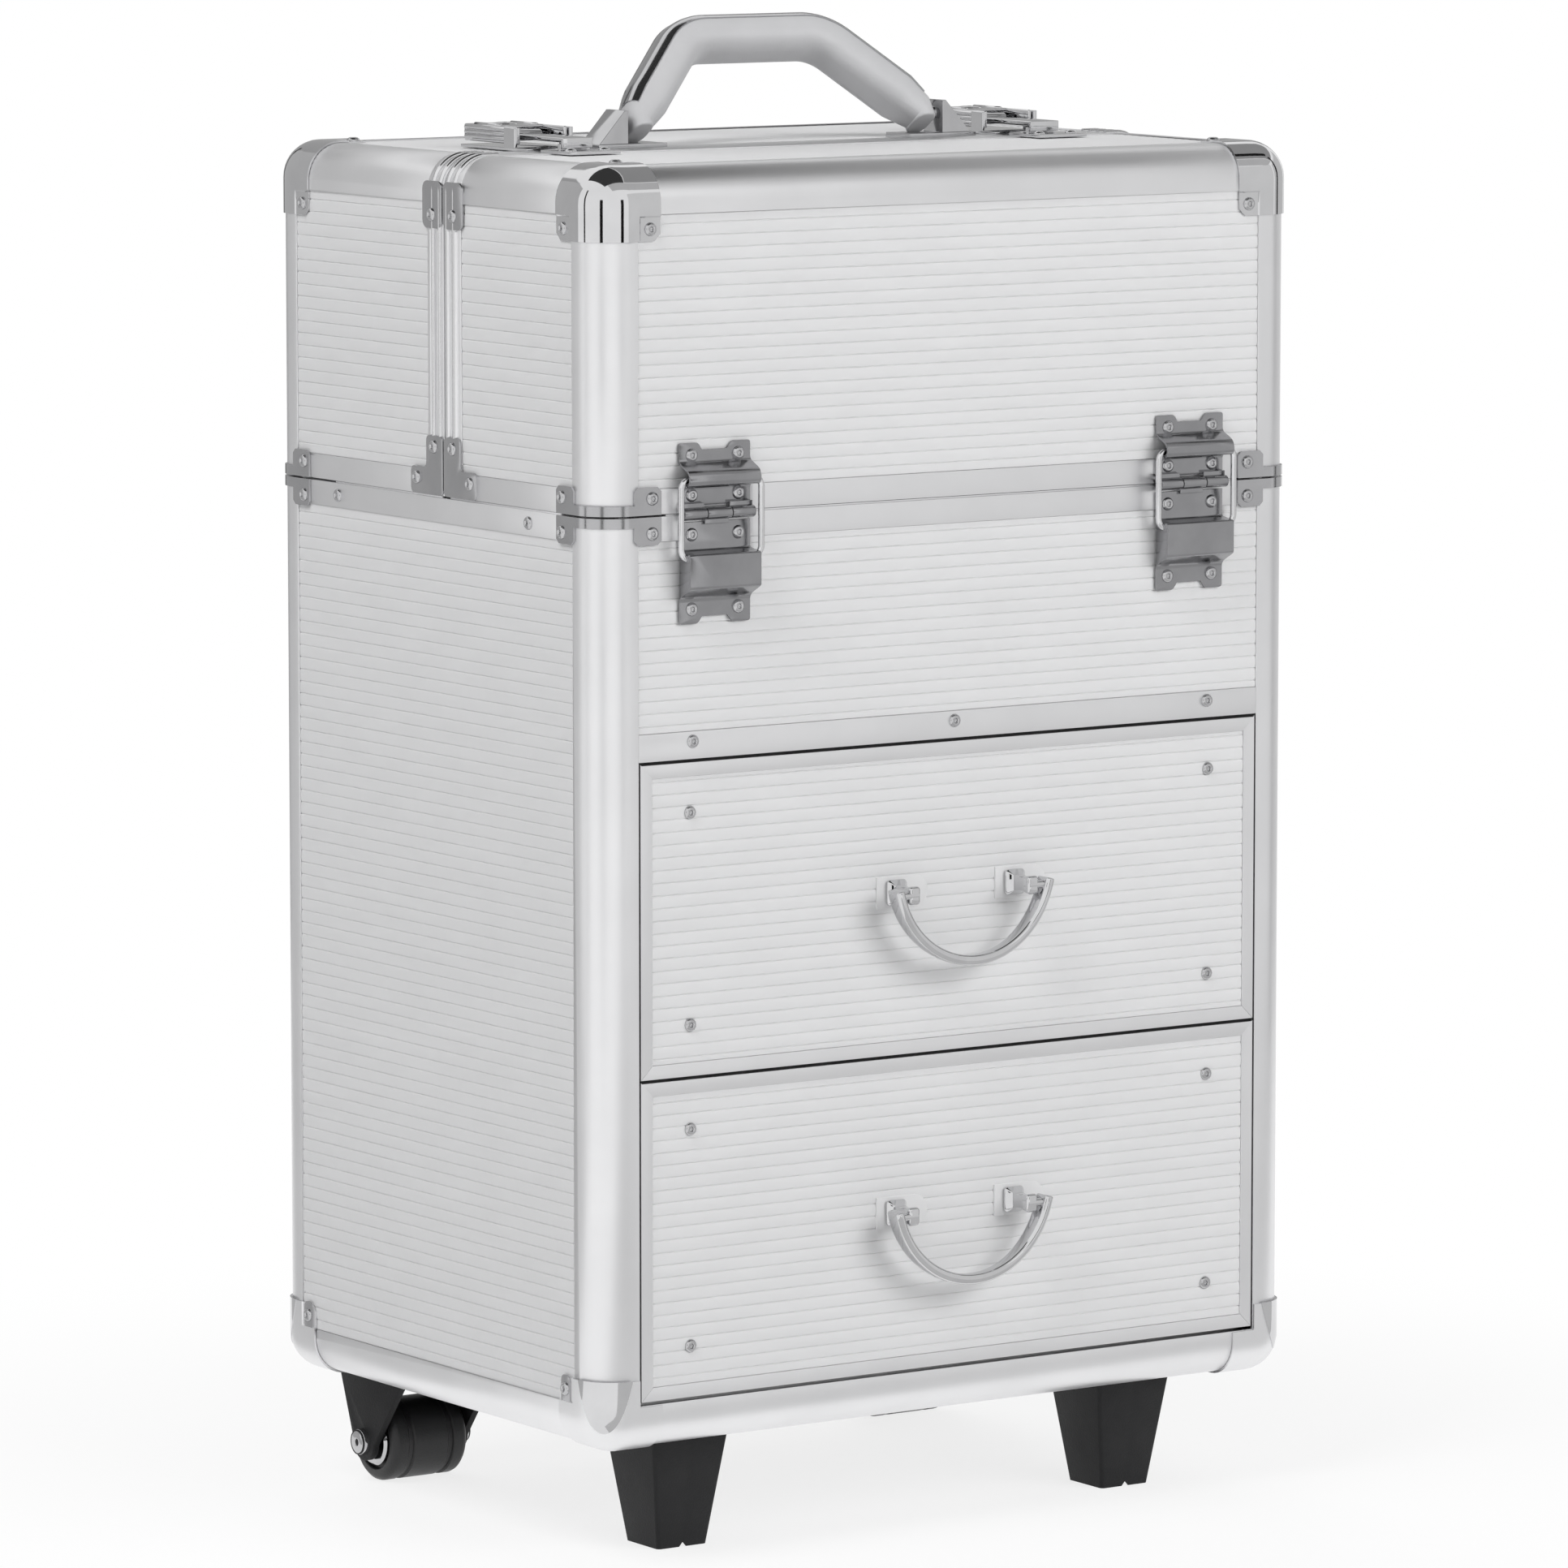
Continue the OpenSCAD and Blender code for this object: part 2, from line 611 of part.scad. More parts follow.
// Top corner caps, seam corner plates and split corner plates of a lid
module lid_caps(dep) {
  ys = -hd + dep;
  pair() {
    translate([-hw, -hd, top_z]) mirror([0, 0, 1]) corner_cap();
    translate([-hw, -hd, lid_z]) seam_plate();
    translate([-hw - cap_t, ys - 24, lid_z]) cube([cap_t, 24, seam_plate_h]);
    translate([-hw - cap_t, ys - split_w, lid_z]) cube([cap_t, split_w, 24]);
    translate([-hw - cap_t, ys - split_w - 4, top_z - edge_w - 10.5])
      cube([cap_t, split_w + 4, 10.5]);
    translate([-hw - cap_t, ys - split_w, top_z - edge_w]) cube([cap_t, split_w, edge_w - edge_r]);
    translate([-hw + edge_r, ys, top_z - edge_r]) rotate([90, 0, 0]) rotate([0, 0, 90])
      rotate_extrude(angle = 90) translate([edge_r, 0]) square([cap_t, split_w]);
  }
}

// Rivet heads of a lid
module lid_rivets(dep) {
  ys = -hd + dep;
  pair() {
    translate([-hw + 24.2, -hd - cap_t, top_z - 24.2]) rivet();
    translate([-hw - cap_t, -hd + 24.2, top_z - 24.2]) rotate([0, 0, -90]) rivet();
    translate([-hw + 24.2, -hd + 24.2, top_z + cap_t]) rotate([-90, 0, 0]) rivet();
    translate([-hw + 24.6, -hd - cap_t, lid_z + 6.5]) rivet();
    translate([-hw - cap_t, -hd + 25, lid_z + 6.5]) rotate([0, 0, -90]) rivet();
    translate([-hw - cap_t, ys - 7, lid_z + 20]) rotate([0, 0, -90]) rivet();
    translate([-hw - cap_t, ys - 20, lid_z + 7]) rotate([0, 0, -90]) rivet();
    translate([-hw - cap_t, ys - 9, top_z - edge_w - 5]) rotate([0, 0, -90]) rivet();
  }
}

// Lid leaf of a stay hinge, pin level at z = 0
module lid_leaf() {
  y0 = -pin_out;
  block = wire_r + 1.2;
  difference() {
    union() {
      run_x(hinge_w) polygon([[0, 3.2], [-leaf_t, 3.2], [-leaf_t, ring_up - block],
        [-pin_out - ring_out - block, ring_up - block],
        [-pin_out - ring_out - block, ring_up + block], [-leaf_t, ring_up + block],
        [-leaf_t, 28], [skin_o, 28], [skin_o, strip_h + 1.2], [0, strip_h + 1.2]]);
      for (s = [-1, 1]) {
        translate([s * (hinge_w / 4 + 3), y0, 0]) rotate([0, 90, 0])
          cylinder(r = knuckle_r, h = hinge_w / 2 - 6, center = true);
        translate([s * (hinge_w / 4 + 3) - hinge_w / 4 + 3, y0, 1])
          cube([hinge_w / 2 - 6, pin_out, 3]);
      }
    }
    translate([0, y0, 0]) rotate([0, 90, 0])
      cylinder(r = pin_r + run_c, h = 2 * hinge_w, center = true);
    translate([0, -pin_out - ring_out, ring_up]) rotate([0, 90, 0])
      cylinder(r = wire_r + run_c, h = 2 * hinge_w, center = true);
    translate([0, 0, 29]) cube([8, 20, 4], center = true);
  }
  for (x = [-11, 11]) {
    translate([x, -leaf_t, 7.4]) rivet();
    translate([x, -leaf_t, 23]) rivet();
  }
}

// Lid leaves left and right
module lid_leaves() {
  pair() translate([hinge_x, -hd, seam_z]) lid_leaf();
}

// Stay rings left and right, closed position
module stay_rings() {
  pair() translate([hinge_x, -hd - pin_out - ring_out, seam_z + ring_up]) {
    for (z = [0, -ring_len]) translate([0, 0, z]) rotate([0, 90, 0])
      cylinder(r = wire_r, h = 2 * ring_half, center = true);
    for (x = [-ring_half, ring_half]) {
      translate([x, 0, -ring_len]) cylinder(r = wire_r, h = ring_len);
      translate([x, 0, 0]) sphere(wire_r);
      translate([x, 0, -ring_len]) sphere(wire_r);
    }
  }
}

// Studs on the lid side walls that carry the trays
module lid_studs() {
  pair() translate([0, -hd - pin_out, seam_z]) for (p = [up_pivot, lo_pivot]) {
    translate([tray_half - tray_t, p[0], p[1]]) rotate([0, 90, 0])
      cylinder(r = stud_r, h = hw - board_o - panel_t - tray_half + tray_t);
    translate([hw - board_o - panel_t - 2, p[0], p[1]]) rotate([0, 90, 0])
      cylinder(r = 5, h = 2);
  }
}

module front_lid_panels() color("silver") lid_panels(front_dep);
module front_lid_skins() color("gainsboro") lid_skins(front_dep);
module front_lid_edges() color("silver") lid_edges(front_dep);
module front_lid_caps() color("lightgray") lid_caps(front_dep);
module front_lid_rivets() color("lightgray") lid_rivets(front_dep);
module front_lid_leaves() color("silver") lid_leaves();
module front_lid_studs() color("gray") lid_studs();
module front_rings() color("lightgray") stay_rings();
module rear_lid_panels() color("silver") rear() lid_panels(rear_dep);
module rear_lid_skins() color("gainsboro") rear() lid_skins(rear_dep);
module rear_lid_edges() color("silver") rear() lid_edges(rear_dep);
module rear_lid_caps() color("lightgray") rear() lid_caps(rear_dep);
module rear_lid_rivets() color("lightgray") rear() lid_rivets(rear_dep);
module rear_lid_leaves() color("silver") rear() lid_leaves();
module rear_lid_studs() color("gray") rear() lid_studs();
module rear_rings() color("lightgray") rear() stay_rings();

// Keepers of the latches on the front lid
module latch_keepers() color("lightgray") {
  y1 = split_y - seam_gap / 2;
  pair() translate([latch_x, 0, top_z]) {
    translate([-latch_half, y1 - 26, 0]) cube([2 * latch_half, 22, 1.2]);
    translate([-7, keep_y, 1.2]) cube([14, 2, 2.4]);
    for (x = [-8, 8]) translate([x, y1 - 20, 1.2]) rotate([-90, 0, 0]) rivet();
  }
}

// Rear face of the keeper lip, pivots of the lever and the claw
keep_y = split_y - 11.3;
lever_y = split_y + 16;
lever_up = 5.5;
claw_y = lever_y + latch_arm;

// Base plates of the latches on the rear lid, with ears and stub pins
module latch_bases() color("lightgray") {
  y0 = split_y + seam_gap / 2;
  pair() translate([latch_x, 0, top_z]) {
    translate([-latch_half - 2, y0 + 2, 0]) cube([2 * latch_half + 4, 50, 1.2]);
    for (s = [-1, 1]) {
      translate([s * (latch_half + 1.25) - 0.75, lever_y - 4, 1]) cube([1.5, 8, lever_up + 2.5]);
      translate([s * (latch_half - 0.3), lever_y, lever_up]) rotate([0, 90, 0])
        cylinder(r = 1.5, h = 2.6, center = true);
    }
  }
}

// Latch lever: two cheeks, top plate, rear grip and lock bump
module lever(x) {
  translate([x, 0, top_z]) difference() {
    union() {
      for (s = [-1, 1]) translate([s * (latch_half - 0.75) - 0.75, lever_y - 3, lever_up - 3])
        cube([1.5, 40, 6.5]);
      translate([-latch_half, claw_y + 3, lever_up + 2.6]) cube([2 * latch_half, 27, 1.2]);
      translate([-latch_half, claw_y + 27, lever_up + 2.6]) rotate([30, 0, 0])
        cube([2 * latch_half, 10, 1.2]);
      translate([0, claw_y + 15, lever_up + 3.6]) cylinder(r = 5, h = 1.4);
      translate([0, claw_y, lever_up]) rotate([0, 90, 0])
        cylinder(r = 1.2, h = 2 * latch_half - 1, center = true);
    }
    translate([0, lever_y, lever_up]) rotate([0, 90, 0])
      cylinder(r = 1.5 + run_c, h = 60, center = true);
  }
}

// Latch claw reaching over the lid split to the keeper
module claw(x) {
  len = claw_y - keep_y + 0.4;
  translate([x, claw_y, top_z + lever_up]) difference() {
    union() {
      rotate([0, 90, 0]) cylinder(r = 2.3, h = 14, center = true);
      translate([-7, -len - 1.6, -0.6]) cube([14, len + 1.6, 1.2]);
      translate([-7, -len - 1.6, -3.6]) cube([14, 1.6, 3.4]);
    }
    rotate([0, 90, 0]) cylinder(r = 1.2 + run_c, h = 60, center = true);
  }
}

module left_lever() color("lightgray") lever(-latch_x);
module right_lever() color("lightgray") lever(latch_x);
module left_claw() color("silver") claw(-latch_x);
module right_claw() color("silver") claw(latch_x);

// Wedge brackets of the carry handle with their pivot pins
module grip_brackets() color("lightgray") {
  pad = split_y + seam_gap / 2 + split_w + 0.5 - grip_y;
  in_x = grip_end + 0.4;
  pair() translate([0, grip_y, top_z]) {
    translate([grip_half - 10, -9, 0]) cube([33, 18, 1.6]);
    translate([grip_half - 10, pad, -skin_o]) cube([33, 9 - pad, skin_o + 1]);
    rotate([90, 0, 0]) linear_extrude(14, center = true)
      polygon([[in_x, 1], [in_x + 14.4, 1], [in_x + 1.6, 15], [in_x, 15]]);
    translate([in_x - 12, 0, grip_pivot]) rotate([0, 90, 0]) cylinder(r = 2.5, h = 13);
  }
}

// Places a piece of the handle at its rest angle about the pivots
module leaned() {
  translate([0, grip_y, top_z + grip_pivot]) rotate([-grip_lean, 0, 0])
    translate([0, 0, -grip_pivot]) children();
}

// Rounded section of the grip
module grip_section(w, t, r) {
  square([w - 2 * r, t], center = true);
  square([w, t - 2 * r], center = true);
  for (a = [-1, 1], b = [-1, 1]) translate([a * (w / 2 - r), b * (t / 2 - r)]) circle(r);
}

// Swept handle section: top bar, two bends and two legs, butted end to end
module grip_sweep(w, t, r, shift, from) {
  zc = grip_up - grip_t / 2;
  rise = zc - grip_pivot;
  knee = grip_half - rise / tan(grip_slope);
  bend = 22;
  tl = bend * tan(grip_slope / 2);
  leg = rise / sin(grip_slope) - tl;
  translate([0, 0, zc + shift]) rotate([90, 0, 90])
    linear_extrude(2 * (knee - tl - joint), center = true) grip_section(w, t, r);
  pair() {
    translate([knee - tl, 0, zc - bend]) rotate([90, 0, 0])
      rotate([0, 0, 90 - grip_slope]) rotate_extrude(angle = grip_slope)
        translate([bend + shift, 0]) rotate([0, 0, 90]) grip_section(w, t, r);
    translate([grip_half, 0, grip_pivot]) rotate([0, -90 + grip_slope, 0])
      translate([shift, 0, from]) linear_extrude(leg - from - joint)
        rotate([0, 0, 90]) grip_section(w, t, r);
  }
}

// Padded grip of the carry handle and the narrower knuckles at its pivots
module grip() color("darkgray") {
  foot = 14;
  leaned() {
    grip_sweep(grip_w, grip_t, 7, 0, foot);
    pair() difference() {
      union() {
        translate([grip_end - 13, 0, grip_pivot]) rotate([0, 90, 0]) cylinder(r = 7.4, h = 13);
        translate([grip_half, 0, grip_pivot]) rotate([0, -90 + grip_slope, 0])
          translate([-6, -6, 0]) cube([6 + grip_t / 2, 12, foot - joint]);
      }
      translate([grip_end - 12.5, 0, grip_pivot]) rotate([0, 90, 0])
        cylinder(r = 2.5 + run_c, h = 20);
    }
  }
}

// Bright spine along the top of the grip
module grip_spine() color("lightgray") {
  leaned() grip_sweep(12, 1.2, 0.5, grip_t / 2 + 0.6, 2);
}

// Open drawer box with its side rails
module drawer_box(zl, zh, zc) {
  y0 = -hd + board_o + panel_t;
  len = case_d - 34;
  in_w = 2 * (box_half - box_t - joint);
  pair() translate([box_half - box_t, y0, zl]) cube([box_t, len, zh - zl]);
  for (y = [y0, y0 + len - box_t]) translate([-in_w / 2, y, zl]) cube([in_w, box_t, zh - zl]);
  translate([-in_w / 2, y0 + box_t + joint, zl + 1]) cube([in_w, len - 2 * box_t - 2 * joint, 3]);
  pair() translate([box_half, y0 + 14, zc - 4]) cube([7, len - 16, 8]);
}

// Drawer front: board and aluminium border frame
module drawer_front(zl, zh) {
  w = case_w - 2 * edge_w - 2 * drawer_gap;
  translate([-w / 2, -hd + board_o, zl]) cube([w, panel_t, zh - zl]);
  translate([0, -hd, (zl + zh) / 2]) rotate([-90, 0, 0]) linear_extrude(board_o) difference() {
    square([w, zh - zl], center = true);
    square([w - 2 * frame_w, zh - zl - 2 * frame_w], center = true);
  }
}

// Ribbed sheet of a drawer front
module drawer_skin(zl, zh) {
  w = case_w - 2 * edge_w - 2 * drawer_gap - 2 * frame_w - 2 * fit;
  translate([0, -hd + board_o, zl + frame_w + fit]) ribbed(w, zh - zl - 2 * frame_w - 2 * fit);
}

// Pull posts with base plates and front rivets of a drawer
module drawer_posts(zl, zh, zp) {
  translate([0, -hd + skin_o, 0]) {
    pair() translate([pull_x, 0, zp]) {
      translate([-9, -2, -9]) cube([18, 2, 18]);
      translate([0, -pull_o - skin_o, 0]) rotate([0, 90, 0])
        cylinder(r = 3.4, h = 5, center = true);
      translate([-2.5, -pull_o - skin_o, -3.4]) cube([5, pull_o + skin_o - 1, 6.8]);
      translate([0, -pull_o - skin_o, 0]) rotate([0, 90, 0]) cylinder(r = 1.6, h = 9.6);
    }
    pair() for (z = [zl + front_rivet_z, zh - front_rivet_z]) translate([hw - front_rivet, 0, z]) rivet();
  }
}

// Swinging bail of a drawer pull
module drawer_bail(zp) {
  half = pull_x + 7.2;
  rad = (half * half + pull_drop * pull_drop) / (2 * pull_drop);
  up = rad - pull_drop;
  open = asin(up / rad);
  translate([0, -hd - pull_o, zp]) difference() {
    union() {
      translate([0, 0, up]) rotate([90, 0, 0]) rotate([0, 0, 180 + open])
        rotate_extrude(angle = 180 - 2 * open, $fn = 96) translate([rad, 0]) circle(pull_r);
      pair() translate([half, 0, 0]) rotate([0, 90, 0]) cylinder(r = pull_r, h = 5.4, center = true);
    }
    rotate([0, 90, 0]) cylinder(r = 1.6 + run_c, h = 2 * half + 20, center = true);
  }
}

lo_top = drawer_split - drawer_gap / 2;
up_bot = drawer_split + drawer_gap / 2;
up_top = rail_z - drawer_gap;
module lower_box() color("tan") drawer_box(drawer_z + 6, lo_top - 12, runner_z(0));
module lower_front() color("silver") drawer_front(drawer_z, lo_top);
module lower_skin() color("gainsboro") drawer_skin(drawer_z, lo_top);
module lower_posts() color("lightgray") drawer_posts(drawer_z, lo_top, drawer_z + 65);
module lower_bail() color("lightgray") drawer_bail(drawer_z + 65);
module upper_box() color("tan") drawer_box(up_bot + 6, up_top - 12, runner_z(1));
module upper_front() color("silver") drawer_front(up_bot, up_top);
module upper_skin() color("gainsboro") drawer_skin(up_bot, up_top);
module upper_posts() color("lightgray") drawer_posts(up_bot, up_top, up_bot + 66);
module upper_bail() color("lightgray") drawer_bail(up_bot + 66);

// Open tray with pivot holes for the lid studs and pins for the arms
module tray(y0, dep, z0, high, piv, foot, pin) {
  b = foot + piv;
  translate([0, -hd - pin_out, seam_z]) {
    difference() {
      translate([-tray_half, y0, z0]) cube([2 * tray_half, dep, high]);
      translate([-tray_half + tray_t, y0 + tray_t, z0 + tray_t])
        cube([2 * (tray_half - tray_t), dep - 2 * tray_t, high]);
      translate([0, piv[0], piv[1]]) rotate([0, 90, 0])
        cylinder(r = stud_r + stud_c, h = 2 * tray_half + 2, center = true);
    }
    pair() translate([tray_half - 0.5, b[0], b[1]]) rotate([0, 90, 0])
      cylinder(r = stud_r, h = pin + arm_t + 0.3 - tray_half + 0.5);
  }
}

// Left and right flat arms between a body pin and a tray pin
module arms(foot, piv, x) {
  n = norm(piv);
  pair() translate([x, -hd - pin_out + foot[0], seam_z + foot[1]])
    rotate([atan2(piv[1], piv[0]), 0, 0]) rotate([90, 0, 90]) linear_extrude(arm_t) difference() {
      union() {
        translate([0, -arm_w / 2]) square([n, arm_w]);
        circle(arm_w / 2);
        translate([n, 0]) circle(arm_w / 2);
      }
      circle(stud_r + run_c);
      translate([n, 0]) circle(stud_r + run_c);
    }
}

module upper_tray() tray(up_tray_y, up_tray_d, up_tray_z, up_tray_h, up_pivot, up_foot, up_x);
module lower_tray() tray(lo_tray_y, lo_tray_d, lo_tray_z, lo_tray_h, lo_pivot, lo_foot, lo_x);
module front_upper_tray() color("dimgray") upper_tray();
module front_lower_tray() color("dimgray") lower_tray();
module rear_upper_tray() color("dimgray") rear() upper_tray();
module rear_lower_tray() color("dimgray") rear() lower_tray();
module front_upper_arms() color("silver") arms(up_foot, up_pivot, up_x);
module front_lower_arms() color("silver") arms(lo_foot, lo_pivot, lo_x);
module rear_upper_arms() color("silver") rear() arms(up_foot, up_pivot, up_x);
module rear_lower_arms() color("silver") rear() arms(lo_foot, lo_pivot, lo_x);

// Wheel with stepped grooves and hub recess
module wheel(x) {
  h = wheel_w / 2;
  translate([x, wheel_y, wheel_r]) rotate([0, 90, 0]) rotate_extrude($fn = 64)
    polygon([[axle_r + run_c, -h], [9, -h], [9, -h + 3], [12, -h + 3], [12, -h + 1],
      [wheel_r - 2, -h + 1], [wheel_r, -h + 3], [wheel_r, -h + 8], [wheel_r - 1, -h + 8.6],
      [wheel_r - 1, -h + 10.4], [wheel_r, -h + 11], [wheel_r, h - 11], [wheel_r - 1, h - 10.4],
      [wheel_r - 1, h - 8.6], [wheel_r, h - 8], [wheel_r, h - 3], [wheel_r - 2, h - 1],
      [12, h - 1], [12, h - 3], [9, h - 3], [9, h], [axle_r + run_c, h]]);
}
module left_wheel() color("black") wheel(-wheel_x);
module right_wheel() color("black") wheel(wheel_x);

// Inner tubes of the pull handle
module inner_tubes() color("silver") {
  len = pull_top - pull_h - tube_z - tube_step;
  pair() translate([tube_x, hd + tube_o, tube_z + tube_step]) difference() {
    cylinder(r = tube_in, h = len);
    translate([0, 0, -1]) cylinder(r = tube_in - 1, h = len);
  }
}

// Grip bar of the pull handle
module pull_grip() color("dimgray") {
  translate([-tube_x - pull_side, hd + tube_o - tube_r, pull_top - pull_h])
    cube([2 * (tube_x + pull_side), 2 * tube_r, pull_h]);
}

case_panels();
case_skins();
case_edges();
case_caps();
case_rivets();
front_feet();
wheel_brackets();
drawer_runners();
body_leaves();
tray_brackets();
pull_tubes();
pull_brackets();
front_lid_panels();
front_lid_skins();
front_lid_edges();
front_lid_caps();
front_lid_rivets();
front_lid_leaves();
front_lid_studs();
latch_keepers();
rear_lid_panels();
rear_lid_skins();
rear_lid_edges();
rear_lid_caps();
rear_lid_rivets();
rear_lid_leaves();
rear_lid_studs();
latch_bases();
grip_brackets();
front_rings();
rear_rings();
grip();
grip_spine();
left_lever();
right_lever();
left_claw();
right_claw();
upper_box();
upper_front();
upper_skin();
upper_posts();
upper_bail();
lower_box();
lower_front();
lower_skin();
lower_posts();
lower_bail();
front_upper_tray();
front_lower_tray();
rear_upper_tray();
rear_lower_tray();
front_upper_arms();
front_lower_arms();
rear_upper_arms();
rear_lower_arms();
left_wheel();
right_wheel();
inner_tubes();
pull_grip();
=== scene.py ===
import bpy
import bmesh
import math
from mathutils import Matrix, Vector


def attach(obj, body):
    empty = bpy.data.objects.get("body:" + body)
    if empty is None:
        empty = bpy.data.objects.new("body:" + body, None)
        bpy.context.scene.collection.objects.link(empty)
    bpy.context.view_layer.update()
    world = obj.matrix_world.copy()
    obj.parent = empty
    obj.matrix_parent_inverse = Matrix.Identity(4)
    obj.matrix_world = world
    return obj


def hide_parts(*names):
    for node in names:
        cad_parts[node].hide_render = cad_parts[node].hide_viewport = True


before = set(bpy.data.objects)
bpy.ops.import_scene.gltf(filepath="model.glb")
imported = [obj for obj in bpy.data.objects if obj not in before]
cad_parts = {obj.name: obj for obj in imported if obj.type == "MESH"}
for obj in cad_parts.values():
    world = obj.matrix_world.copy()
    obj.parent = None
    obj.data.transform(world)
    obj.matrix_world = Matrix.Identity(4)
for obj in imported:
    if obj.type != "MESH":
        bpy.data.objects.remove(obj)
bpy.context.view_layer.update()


# Studio: a pale floor that fades into white, wide soft lamps, grey cards that
# only polished metal mirrors, and the camera. Nothing here belongs to the case.
scene = bpy.context.scene
scene.view_settings.view_transform = "Standard"
WHITE = (1.0, 1.0, 1.0, 1.0)
CASE_MIDDLE = (0.0, 0.0, 0.32)
floor_half = 9.0
camera_place, camera_down, camera_turn = (-2.12413, -3.13759, 0.76132), 0.1233, -0.5952

camera_data = bpy.data.cameras.new("studio_camera")
camera_data.sensor_width = 36.0
camera_data.lens = 212.5
camera = bpy.data.objects.new("studio_camera", camera_data)
camera.location = camera_place
camera.rotation_euler = (math.pi / 2 - camera_down, 0.0, camera_turn)
scene.collection.objects.link(camera)
scene.camera = camera


def add_node(tree, kind, sockets={}, **settings):
    node = tree.nodes.new("ShaderNode" + kind)
    for name, value in settings.items():
        setattr(node, name, value)
    for name, value in sockets.items():
        node.inputs[name].default_value = value
    return node


def wire(tree, *rows):
    for source, output, target, socket in rows:
        tree.links.new(source.outputs[output], target.inputs[socket])


def seen_ray(tree):
    path = add_node(tree, "LightPath")
    seen = path.outputs["Is Camera Ray"]
    for kind in ("Is Glossy Ray", "Is Transmission Ray"):
        either = add_node(tree, "Math", operation="MAXIMUM")
        tree.links.new(seen, either.inputs[0])
        tree.links.new(path.outputs[kind], either.inputs[1])
        seen = either.outputs["Value"]
    return seen


def mix_shaders(tree, *sources):
    mix = add_node(tree, "MixShader")
    for socket, source in zip(mix.inputs, sources):
        tree.links.new(source, socket)
    return mix.outputs["Shader"]


def bare_material(name):
    mat = bpy.data.materials.new(name)
    mat.use_nodes = True
    mat.node_tree.nodes.clear()
    return mat, mat.node_tree


def new_object(name, bm, mat):
    mesh = bpy.data.meshes.new(name)
    bm.to_mesh(mesh)
    bm.free()
    mesh.materials.append(mat)
    made = bpy.data.objects.new(name, mesh)
    scene.collection.objects.link(made)
    return made


world = bpy.data.worlds.new("studio_white")
world.use_nodes = True
scene.world = world
sky = world.node_tree
sky.nodes.clear()
sky_light = add_node(sky, "Background", {"Color": (0.97, 0.98, 1.0, 1.0), "Strength": 0.16})
sky_seen = add_node(sky, "Background", {"Color": WHITE, "Strength": 1.0})
sky_mix = mix_shaders(sky, seen_ray(sky), sky_light.outputs[0], sky_seen.outputs[0])
sky.links.new(sky_mix, add_node(sky, "OutputWorld").inputs["Surface"])

floor_mat, paint = bare_material("studio_floor_paint")
floor_bsdf = add_node(paint, "BsdfDiffuse", {"Color": (0.9, 0.9, 0.9, 1.0)})
floor_glow = add_node(paint, "Emission", {"Color": WHITE})
floor_coord = add_node(paint, "TexCoord")
floor_far = add_node(paint, "VectorMath", operation="LENGTH")
floor_fade = add_node(paint, "MapRange", {"From Min": 0.15, "From Max": 0.60, "To Min": 0.80,
                                          "To Max": 1.0}, interpolation_type="SMOOTHSTEP")
wire(paint, (floor_coord, "Object", floor_far, 0), (floor_far, "Value", floor_fade, "Value"))
floor_mix = mix_shaders(paint, floor_fade.outputs["Result"], floor_bsdf.outputs[0],
                        floor_glow.outputs[0])
floor_pick = mix_shaders(paint, seen_ray(paint), floor_bsdf.outputs[0], floor_mix)
paint.links.new(floor_pick, add_node(paint, "OutputMaterial").inputs["Surface"])
floor_bm = bmesh.new()
bmesh.ops.create_grid(floor_bm, x_segments=8, y_segments=8, size=floor_half)
floor = new_object("studio_floor", floor_bm, floor_mat)


def aimed(place, aim):
    return (Vector(aim) - Vector(place)).to_track_quat("-Z", "Y")


for name, place, size, watts in (("left_softbox", (-2.1, -0.5, 2.8), (1.6, 1.6), 66.0),
                                 ("front_softbox", (1.2, -2.8, 1.7), (2.2, 1.6), 61.0),
                                 ("rear_softbox", (0.9, 2.6, 2.2), (2.0, 1.8), 36.0)):
    data = bpy.data.lights.new(name, "AREA")
    data.shape = "RECTANGLE"
    data.size, data.size_y = size
    data.energy = watts
    lamp = bpy.data.objects.new(name, data)
    lamp.location = place
    lamp.rotation_euler = aimed(place, CASE_MIDDLE).to_euler()
    lamp.visible_glossy = False
    scene.collection.objects.link(lamp)

